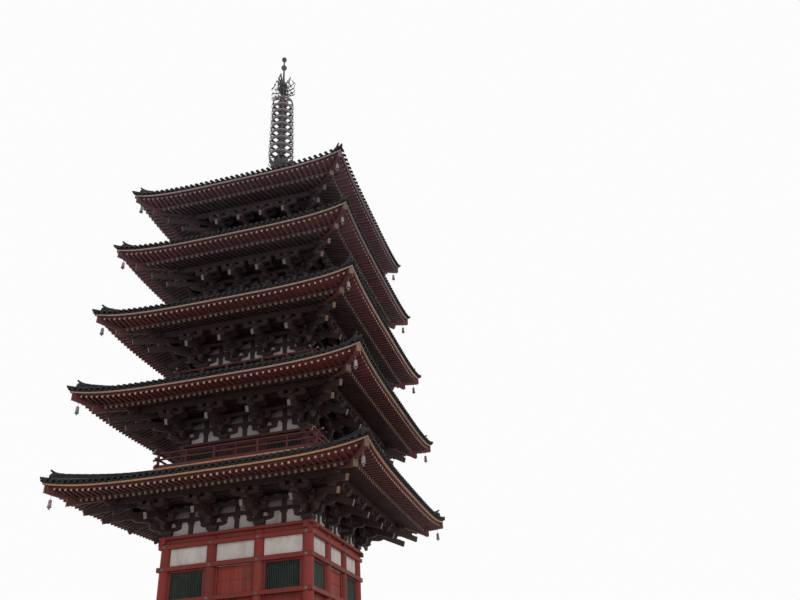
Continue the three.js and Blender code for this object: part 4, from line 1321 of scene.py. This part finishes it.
# Each hip carries a ridge of three stepped courses of flat tiles under a round cap row. A
# shaped end tile closes it at the corner, with a round tile that curves up over it.
ridge_foot = 0.2  # inset of its lower end
ridge_length = 0.24
ridge_widths, ridge_course = (0.3, 0.27, 0.24), 0.055
corner_tile = mirrored([
    (-0.13, -0.12), (-0.16, -0.07), (-0.145, 0), (-0.11, 0.04), (-0.125, 0.08), (-0.1, 0.13), (-0.05, 0.16),
])
corner_boss = [(0.06, 0), (0.06, 0.02), (0.045, 0.028), (0.04, 0.02), (0.025, 0.028), (0.005, 0.032)]


def on_hip(storey, inset, lift):
    """A point at a height above the tiles' crest on the hip, which runs along +X here."""
    x = storey.half - inset
    return np.array((root_two * x, 0, crest(storey, x, inset) + lift))


def lay_ridge(stock, storey, near, far):
    """One length of a ridge: its flat courses and the cap over them."""
    for layer, width in enumerate(ridge_widths):
        lift = -0.085 + ridge_course * layer
        start, end = on_hip(storey, near + 0.004, lift), on_hip(storey, far, lift - 0.004)
        stock.beam(start, end, width, 0.046, 0.01)
    rings = []
    for inset, radius in ((near, 0.092), (far + 0.015, 0.082)):
        centre = on_hip(storey, inset, 0.085)
        angles = [math.pi * side / 8 for side in range(9)]
        rings.append([centre + radius * np.array((0, math.cos(a), 1.15 * math.sin(a))) for a in angles])
    stock.loft(np.array(rings))


def close_ridge(stock, storey):
    """The shaped tile at a ridge's foot, and the round tile that curls up over it."""
    foot = on_hip(storey, ridge_foot, 0)
    stock.slab(corner_tile, 0.08, foot, math.pi / 2)
    inner = [(0.8 * across, 0.02 + 0.8 * (height - 0.02)) for across, height in corner_tile]
    stock.slab(inner, 0.12, foot, math.pi / 2)
    outward = ((0, 1, 0), (0, 0, 1), (1, 0, 0))
    stock.laid(corner_boss, 14, outward, foot + (0.06, 0, 0.03))
    rings = []
    for step in range(9):
        share = step / 8
        centre = on_hip(storey, 0.55 - 0.4 * share, 0.13) + (0, 0, 0.2 * share ** 2.4)
        radius = 0.075 - 0.035 * share
        rings.append([
            centre + radius * np.array((-0.4 * math.sin(a) * share, math.cos(a), math.sin(a)))
            for a in circle_angles(12)
        ])
    stock.loft(np.array(rings))


def hip_nose(stock, storey, tip):
    """The pointed bed of tiles beyond the ridge's foot, that ends the eave at its corner."""
    reach, top = root_two * storey.half, on_hip(storey, 0, 0)[2]
    rings = []
    for out, half_width, low, high in (
        (-0.3, 0.11, -0.2, -0.03), (0, 0.09, -0.18, -0.02), (0.7 * tip, 0.05, -0.13, -0.01),
        (tip, 0.014, -0.07, 0.01),
    ):
        corners = ((-1, low), (1, low), (0.8, high), (-0.8, high))
        rings.append([(reach + out, across * half_width, top + height) for across, height in corners])
    stock.loft(np.array(rings))


for storey in storeys:
    ridge = Stock(420 + storey.number)
    last = storey.half - storey.above - 0.02 - (1.054 if storey.number < 5 else 0)
    lengths = math.ceil((last - ridge_foot) / ridge_length)
    for number in range(lengths):
        near, far = (ridge_foot + (last - ridge_foot) * place / lengths for place in (number, number + 1))
        lay_ridge(ridge, storey, near, far)
    close_ridge(ridge, storey)
    hip_nose(ridge, storey, 0.16 if storey.number == 1 else 0.21)
    dress_corners(ridge, storey, "hip_ridges", tile, "tile", crease=tile_crease)

# The spire is cast bronze, threaded piece by piece on the mast: first a square basin on the
# roof, with mouldings at its foot and its head and panels between them.
bronze = Finish("bronze")
runs = bronze.noise(bronze.stretched(bronze.place, (1, 1, 0.5)), 6.0, 6.0, 0.65)
green = bronze.part_of(runs, 0.45, 0.68)
pit = bronze.noise(bronze.place, 45.0, 5.0, 0.6)
bronze_colour = bronze.mix(paint(74, 67, 73), paint(84, 90, 88), green * 0.7)
bronze_colour = bronze.lighten(bronze_colour, 0.75, 1.15, bronze.shade)
bronze.surface(bronze_colour, 0.42 + green * 0.4, pit, 0.003, metallic=0.5)

basin_low, basin_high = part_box("dew_basin")
size, height = 2 * basin_high.x, basin_high.z - basin_low.z
basin = Stock(500)
levels = (0, 0.3, 0.37, 0.42, height - 0.3, height - 0.22, height - 0.16, height)
set_in = (0, 0.06, 0.12, 0.2, 0.13, 0.05, 0)
for bottom, top, narrower in zip(levels, levels[1:], set_in):
    width = size - narrower
    basin.block((0, 0, basin_low.z + (bottom + top) / 2), (width, width, top - bottom), arris)
face = (size - 0.2) / 2
panel_tall = height - 0.3 - 0.42 - 0.1
frames = Stock(501)
for column in range(4):
    place = ((column - 1.5) * (size - 0.28) / 3, -face, basin_low.z + 0.47 + panel_tall / 2)
    frames.block(place, (0.06, 0.05, panel_tall), 0.008)
for level in (0.45, 0.45 + panel_tall + 0.02):
    frames.block((0, -face, basin_low.z + level), (2 * face, 0.05, 0.05), 0.008)
frames.repeat_on_four_sides()
basin.take(frames)
dress(basin.piece("basin", bronze), "bronze", "dew_basin")

# An inverted bowl stands on the basin, cast in one with its foot and neck. Two low bands run
# round it.
bowl_low, bowl_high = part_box("inverted_bowl")
tall, radius = bowl_high.z - bowl_low.z, bowl_high.x
neck = 0.34 * radius
profile = [(radius, 0), (radius, 0.05), (radius * 0.97, 0.07)]
for step in range(1, 10):
    angle = math.pi / 2 * step / 10
    profile.append((radius * (0.3 + 0.67 * math.cos(angle)), 0.07 + (tall - 0.1) * math.sin(angle)))
profile += [(neck, tall - 0.02), (neck, tall)]
bowl = Stock(502)
bowl.turned(profile, 40, (0, 0, bowl_low.z))
for level in (0.16, 0.34):
    ridge = radius - 0.32 * level
    under, over = 0.98 * radius - 0.32 * level, 0.98 * radius - 0.36 * level
    band = [(under, level - 0.02), (ridge, level), (over, level + 0.02)]
    bowl.turned(band, 40, (0, 0, bowl_low.z))
dress(bowl.piece("bowl", bronze), "bronze", "inverted_bowl")

# A cup of lotus petals opens above the bowl: two rings of eight that lean out and a steeper
# ring within them, round a turned core.
cup_low, cup_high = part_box("lotus_cup")
cup_tall = cup_high.z - cup_low.z
petal_rows, petal_columns = 9, 7
petal_thickness = 0.022


def petal_faces():
    """The faces of a sheet's two sides and of the edge that joins them."""
    rows, columns, count = petal_rows, petal_columns, petal_rows * petal_columns
    faces = []
    for row in range(rows - 1):
        for column in range(columns - 1):
            a = row * columns + column
            faces.append((a, a + columns, a + columns + 1, a + 1))
            faces.append((count + a, count + a + 1, count + a + columns + 1, count + a + columns))
    edge = [row * columns for row in range(rows)]
    edge += [(rows - 1) * columns + column for column in range(1, columns)]
    edge += [row * columns + columns - 1 for row in range(rows - 2, -1, -1)]
    edge += range(columns - 2, 0, -1)
    for here, onward in zip(edge, edge[1:] + edge[:1]):
        faces.append((here, onward, onward + count, here + count))
    return faces


def petal(angle, reach, rise, width):
    """A lotus petal: a cupped leaf that swells from its foot and curls out to a point."""
    foot = 0.2
    points = []
    for thickness in (0, petal_thickness):
        for row in range(petal_rows):
            share = row / (petal_rows - 1)
            out = foot + (reach - foot) * share ** 0.9 + 0.03 * math.sin(math.pi * share)
            swell = math.sin(math.pi * (0.12 + 0.88 * share) ** 0.9)
            half = width / 2 * swell ** 0.75 if share < 1 else 0.004
            for column in range(petal_columns):
                across = 2 * column / (petal_columns - 1) - 1
                cup = 0.16 * half * across ** 2
                height = rise * share ** 1.5 + cup + thickness
                points.append((out - cup * 0.6 - thickness * 0.5, across * half, height))
    leaf = Stock()
    leaf.add(points, petal_faces())
    return leaf.turn(angle)


cup = Stock(503)
for reach, rise, offset, width in (
    (cup_high.x - 0.01, 0.8, 0.0, 0.26), (cup_high.x - 0.1, 0.74, 0.5, 0.26), (0.56, 0.98, 0.0, 0.34),
):
    for number in range(8):
        cup.take(petal(2 * math.pi * (number + offset) / 8 + 0.2, reach, rise * cup_tall, width))
core = [(0.3, 0), (0.32, 0.06), (0.26, 0.12), (0.3, 0.2), (0.36, 0.4), (0.26, 0.6), (0.17, cup_tall)]
cup.turned(core, 32)
dress(cup.move((0, 0, cup_low.z)).piece("lotus", bronze), "bronze", "lotus_cup")

# Nine rings circle the mast, each a hoop on four spokes from a hub. Four small bells hang
# from every hoop, and bowed rods tie each ring to the next.
ring_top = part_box("nine_rings")[1].z
ring_count = 9
first_ring = storeys[-1].eave + 6.669
ring_spacing = 0.616
first_radius, ring_taper = 0.8, 0.0127
mast_radius = 0.155
rod_radius = 0.017
hub = [
    (0.17, -0.13), (0.24, -0.09), (0.22, -0.03), (0.37, -0.02), (0.385, 0), (0.37, 0.02), (0.22, 0.03),
    (0.17, 0.13),
]
small_bell = [
    (0.02, -0.12), (0.085, -0.27), (0.115, -0.28), (0.09, -0.2), (0.085, -0.1), (0.065, -0.015), (0.012, 0),
]
hoop_front = [(0.02, 0.01), (0.002, 0.02), (0, 0.1), (0.03, 0.125), (0.035, 0.1), (0.035, 0.02)]
hoop_skirt = [(0.03, -0.125), (0.01, -0.1), (0.022, -0.05), (0.012, 0.012), (0.036, 0.01), (0.036, -0.11)]
# A band of the darker plain bronze lines the inside of each hoop, against its lighter front: painted shade,
# for the shade inside the ring.
hoop_lining = [
    (0.031, 0.09), (0.031, -0.09), (0.04, 0.105), (0.065, 0.08), (0.055, 0), (0.065, -0.08), (0.04, -0.105),
]


def strand(stock, points, radius):
    """A round rod through points, closed at both ends."""
    rings = []
    for before, point, after in zip([points[0], *points], points, [*points[1:], points[-1]]):
        along = (after - before) / np.linalg.norm(after - before)
        first = np.cross(along, (0.3, 0.9, 0.1))
        first /= np.linalg.norm(first)
        second = np.cross(along, first)
        around = [math.cos(a) * first + math.sin(a) * second for a in circle_angles(6)]
        rings.append([point + radius * outward for outward in around])
    stock.loft(np.array(rings))


def hoop(stock, radius, level, section):
    """A hoop with a section of points, each set in from the radius and above the level."""
    points, faces = [], []
    sides, count = 40, len(section)
    for side, angle in enumerate(circle_angles(sides)):
        for inset, height in section:
            reach = radius - inset
            points.append((reach * math.cos(angle), reach * math.sin(angle), level + height))
        here, onward = side * count, (side + 1) % sides * count
        for step in range(count):
            after = (step + 1) % count
            faces.append((here + step, onward + step, onward + after, here + after))
    stock.add(points, faces)


rings, hoops = Stock(504), Stock(509)
rings.turned([(mast_radius, cup_high.z), (mast_radius - 0.01, ring_top)], 20)
for number in range(ring_count):
    level = first_ring + number * ring_spacing
    outer = first_radius - ring_taper * number
    for stock, section in ((hoops, hoop_front), (rings, hoop_skirt), (rings, hoop_lining)):
        hoop(stock, outer, level, section)
    rings.turned(hub, 20, (0, 0, level))
    for spoke in range(4):
        angle = math.pi * (0.125 + spoke / 2)
        direction = np.array((math.cos(angle), math.sin(angle), 0))
        start, end = (direction * reach + (0, 0, level) for reach in (0.2, outer - 0.03))
        rings.beam(start, end, 0.04, 0.06, 0.006)
        if number < ring_count - 1:
            path = []
            for share in (step / 8 for step in range(9)):
                reach = outer - 0.012 - ring_taper * share + 0.06 * math.sin(math.pi * share) ** 0.7
                path.append(direction * reach + (0, 0, level + 0.06 + share * (ring_spacing - 0.12)))
            strand(rings if spoke % 2 else hoops, path, rod_radius)
        bell = Stock()
        bell.turned(small_bell, 12)
        bell.turned([(0.008, -0.02), (0.008, 0.12)], 5)
        rings.take(bell.move(direction * (outer - 0.13) + (0, 0, level - 0.13)))
# The hoop fronts take the lighter bronze of painted light.
dress(hoops.piece("ring_hoops", lit_bronze), "bronze")
dress(rings.piece("rings", bronze), "bronze", "nine_rings")

# Four openwork vanes stand round the upper mast like flames, cast as scrolls inside a frame.
# Thin straps curve down from their foot to the top ring.
flame_low, flame_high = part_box("water_flame")
vane_half = 0.035  # half the thickness of the vanes


def smooth(points, steps=5):
    """A curve through the points given, in even steps between each two."""
    ends = [np.array(point, float) for point in (points[0], *points, points[-1])]
    curve = []
    for a, b, c, d in zip(ends, ends[1:], ends[2:], ends[3:]):
        bend, swing = 2 * a - 5 * b + 4 * c - d, 3 * b - a - 3 * c + d
        for t in (step / steps for step in range(steps)):
            curve.append(0.5 * (2 * b + (c - a) * t + bend * t ** 2 + swing * t ** 3))
    curve.append(ends[-1])
    return curve


def scroll(centre, radius, start, turns):
    """A spiral that winds in to its centre from a start angle."""
    points = []
    for share in (step / 14 for step in range(15)):
        angle = start + 2 * math.pi * turns * share
        reach = radius * (1 - 0.82 * share)
        points.append(np.array(centre) + (reach * math.cos(angle), reach * math.sin(angle)))
    return points


def cast_bar(stock, path, width):
    """A flat bar in the vane's plane along a path of (outward, height) points, thin at its ends."""
    rings = []
    for number, (before, point, after) in enumerate(zip([path[0], *path], path, [*path[1:], path[-1]])):
        along = (after - before) / np.linalg.norm(after - before)
        share = number / (len(path) - 1)
        half = width / 2 * (0.35 + 0.65 * math.sin(math.pi * (0.1 + 0.8 * share)))
        out, up = -half * along[1], half * along[0]
        rings.append([(point[0] + a * out, c * vane_half, point[1] + a * up) for a, c in SQUARE])
    stock.loft(np.array(rings))


vane = Stock(505)
for path in (
    [(0.06, 0.1), (0.35, 0.22), (0.64, 0.22), (0.85, 0.3), (0.8, 0.5), (0.86, 0.72), (0.8, 0.95),
     (0.86, 1.2)],
    [(0.86, 1.2), (0.82, 1.42), (0.66, 1.58), (0.6, 1.78), (0.52, 2.12)],
    [(0.52, 2.12), (0.46, 1.78), (0.4, 1.62), (0.24, 1.6), (0.09, 1.5)],
    [(0.85, 0.3), (0.76, 0.24), (0.66, 0.28)], [(0.86, 1.2), (0.88, 1.34), (0.8, 1.46)],
    [(0.66, 1.58), (0.7, 1.68), (0.66, 1.8)], [(0.3, 1.6), (0.32, 1.74), (0.42, 1.84)],
    [(0.08, 0.44), (0.3, 0.36), (0.52, 0.42), (0.78, 0.54)],
    [(0.08, 0.86), (0.3, 0.74), (0.54, 0.8), (0.8, 0.94)],
    [(0.08, 1.26), (0.3, 1.14), (0.54, 1.2), (0.8, 1.4)],
):
    cast_bar(vane, smooth(path), 0.012)
vine = random.Random(510)
for row in range(6):
    for column in range(3):
        out, height = 0.3 + 0.21 * column + 0.08 * (row % 2), 0.36 + 0.24 * row
        if out + 0.9 * max(0, height - 1.2) <= 0.78:  # inside the frame, which narrows upwards
            turns = vine.choice((-1, 1)) * vine.uniform(0.7, 0.9)
            curl = scroll((out, height), vine.uniform(0.09, 0.11), vine.uniform(0, 6.28), turns)
            cast_bar(vane, curl, 0.01)
for row in range(12):
    curl = scroll((0.14, 0.2 + 0.12 * row), 0.08, vine.uniform(0, 6.28), vine.choice((-1.2, 1.2)))
    cast_bar(vane, curl, 0.03)
for row in range(4):
    curl = scroll((0.24 + 0.08 * row, 1.64 + 0.12 * row), 0.06, vine.uniform(0, 6.28), 1.1)
    cast_bar(vane, curl, 0.012)
flame, straps = Stock(506), Stock()
flame.take(vane.move((0, 0, flame_low.z)))
cast_bar(straps, smooth([(0.1, 0.02), (0.38, 0.02), (0.6, -0.1), (0.69, -0.3), (0.69, -0.48)]), 0.04)
flame.take(straps.turn(math.pi / 8).move((0, 0, flame_low.z)))
flame.repeat_on_four_sides()
tall = flame_high.z - flame_low.z
mast = [(0.11, 0), (0.13, 0.05), (0.1, 0.1), (0.09, 0.6 * tall), (0.07, 0.8 * tall), (0.06, tall)]
flame.turned(mast, 16, (0, 0, flame_low.z))
for level in (0.13, 0.45, 0.95, 1.35, 1.7):
    flame.turned([(0.09, level - 0.04), (0.13, level), (0.09, level + 0.04)], 16, (0, 0, flame_low.z))
dress(flame.piece("flame_vanes", bronze), "bronze", "water_flame")

# A ball and a pointed jewel end the mast, each a hollow casting that sits in a small collar.
# The ball has a short neck above it, and the jewel runs out to a point.
for name, seed, pointed in (("dragon_ball", 507, 0), ("jewel", 508, 0.35)):
    low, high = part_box(name)
    radius = high.x
    centre = low.z + 0.6 if pointed else high.z - 0.252
    profile = [(0.05, low.z), (0.055, low.z + 0.02), (0.045, centre - radius)]
    for step in range(1, 14):
        angle = math.pi * step / 14 - math.pi / 2
        point = pointed * max(0, math.sin(angle)) ** 6
        profile.append((radius * math.cos(angle), centre + radius * (math.sin(angle) + point)))
    neck, top = (0.03, 0.004) if pointed else (0.06, 0.06)
    profile += [(neck, high.z - 0.04), (top, high.z)]
    ball = Stock(seed)
    ball.turned(profile, 28)
    ball.turned([
        (0.07, centre - radius - 0.03), (0.12, centre - 0.9 * radius), (0.15, centre - 0.72 * radius),
        (0.09, centre - radius),
    ], 16)
    dress(ball.piece(f"{name}_cast", bronze), "bronze", name)

# The tower stands on a pale mound, level round the podium and falling away beyond it. It is
# only a stage for the pictures.
ground = Finish("ground")
ground.surface(paint(212, 210, 206), 0.95)
level_reach, slope_reach, fall_depth = 8, 22, 5.2
profile = [(0.5 * step, 0.0) for step in range(1, 17)]
for step in range(1, 41):
    reach = level_reach + step * 1.6
    share = min(1.0, (reach - level_reach) / slope_reach)
    profile.append((reach, -fall_depth * share * share * (3 - 2 * share)))
sides = 72
clear = 0.004  # of the podium's underside
points = [(0, 0, -clear)]
for reach, height in profile:
    points += [(reach * math.cos(a), reach * math.sin(a), height - clear) for a in circle_angles(sides)]
faces = [(0, 1 + side, 1 + (side + 1) % sides) for side in range(sides)]
for inner in range(1, (len(profile) - 1) * sides, sides):
    outer = inner + sides
    for side in range(sides):
        onward = (side + 1) % sides
        faces.append((inner + side, outer + side, outer + onward, inner + onward))
mound = Stock(99)
mound.add(points, faces)
mound.piece("ground", ground, 180)

# The light is an overcast sky of even brightness. A broad sun high behind the tower stands for
# the brighter part of that sky, and one low on its right for light that the ground throws up.
world = bpy.data.worlds.new("sky")
world.use_nodes = True
sky = world.node_tree.nodes["Background"]
sky.inputs["Color"].default_value = (0.98, 0.975, 0.98, 1)
sky.inputs["Strength"].default_value = 1.0
bpy.context.scene.world = world


def soft_light(name, spread, rotation):
    """A sun as broad as its spread in degrees, which throws no sharp shadow."""
    data = bpy.data.lights.new(name, "SUN")
    data.energy = 1.2
    data.angle = math.radians(spread)
    light = bpy.data.objects.new(name, data)
    light.rotation_euler = rotation
    bpy.context.scene.collection.objects.link(light)


soft_light("soft_sun", 40, (math.radians(35), 0, math.radians(200)))
fill_travel = Vector((-0.85, 0.4, 0.3))
soft_light("soft_fill", 90, fill_travel.to_track_quat("-Z", "Y").to_euler())
bpy.context.scene.view_settings.view_transform = "Standard"
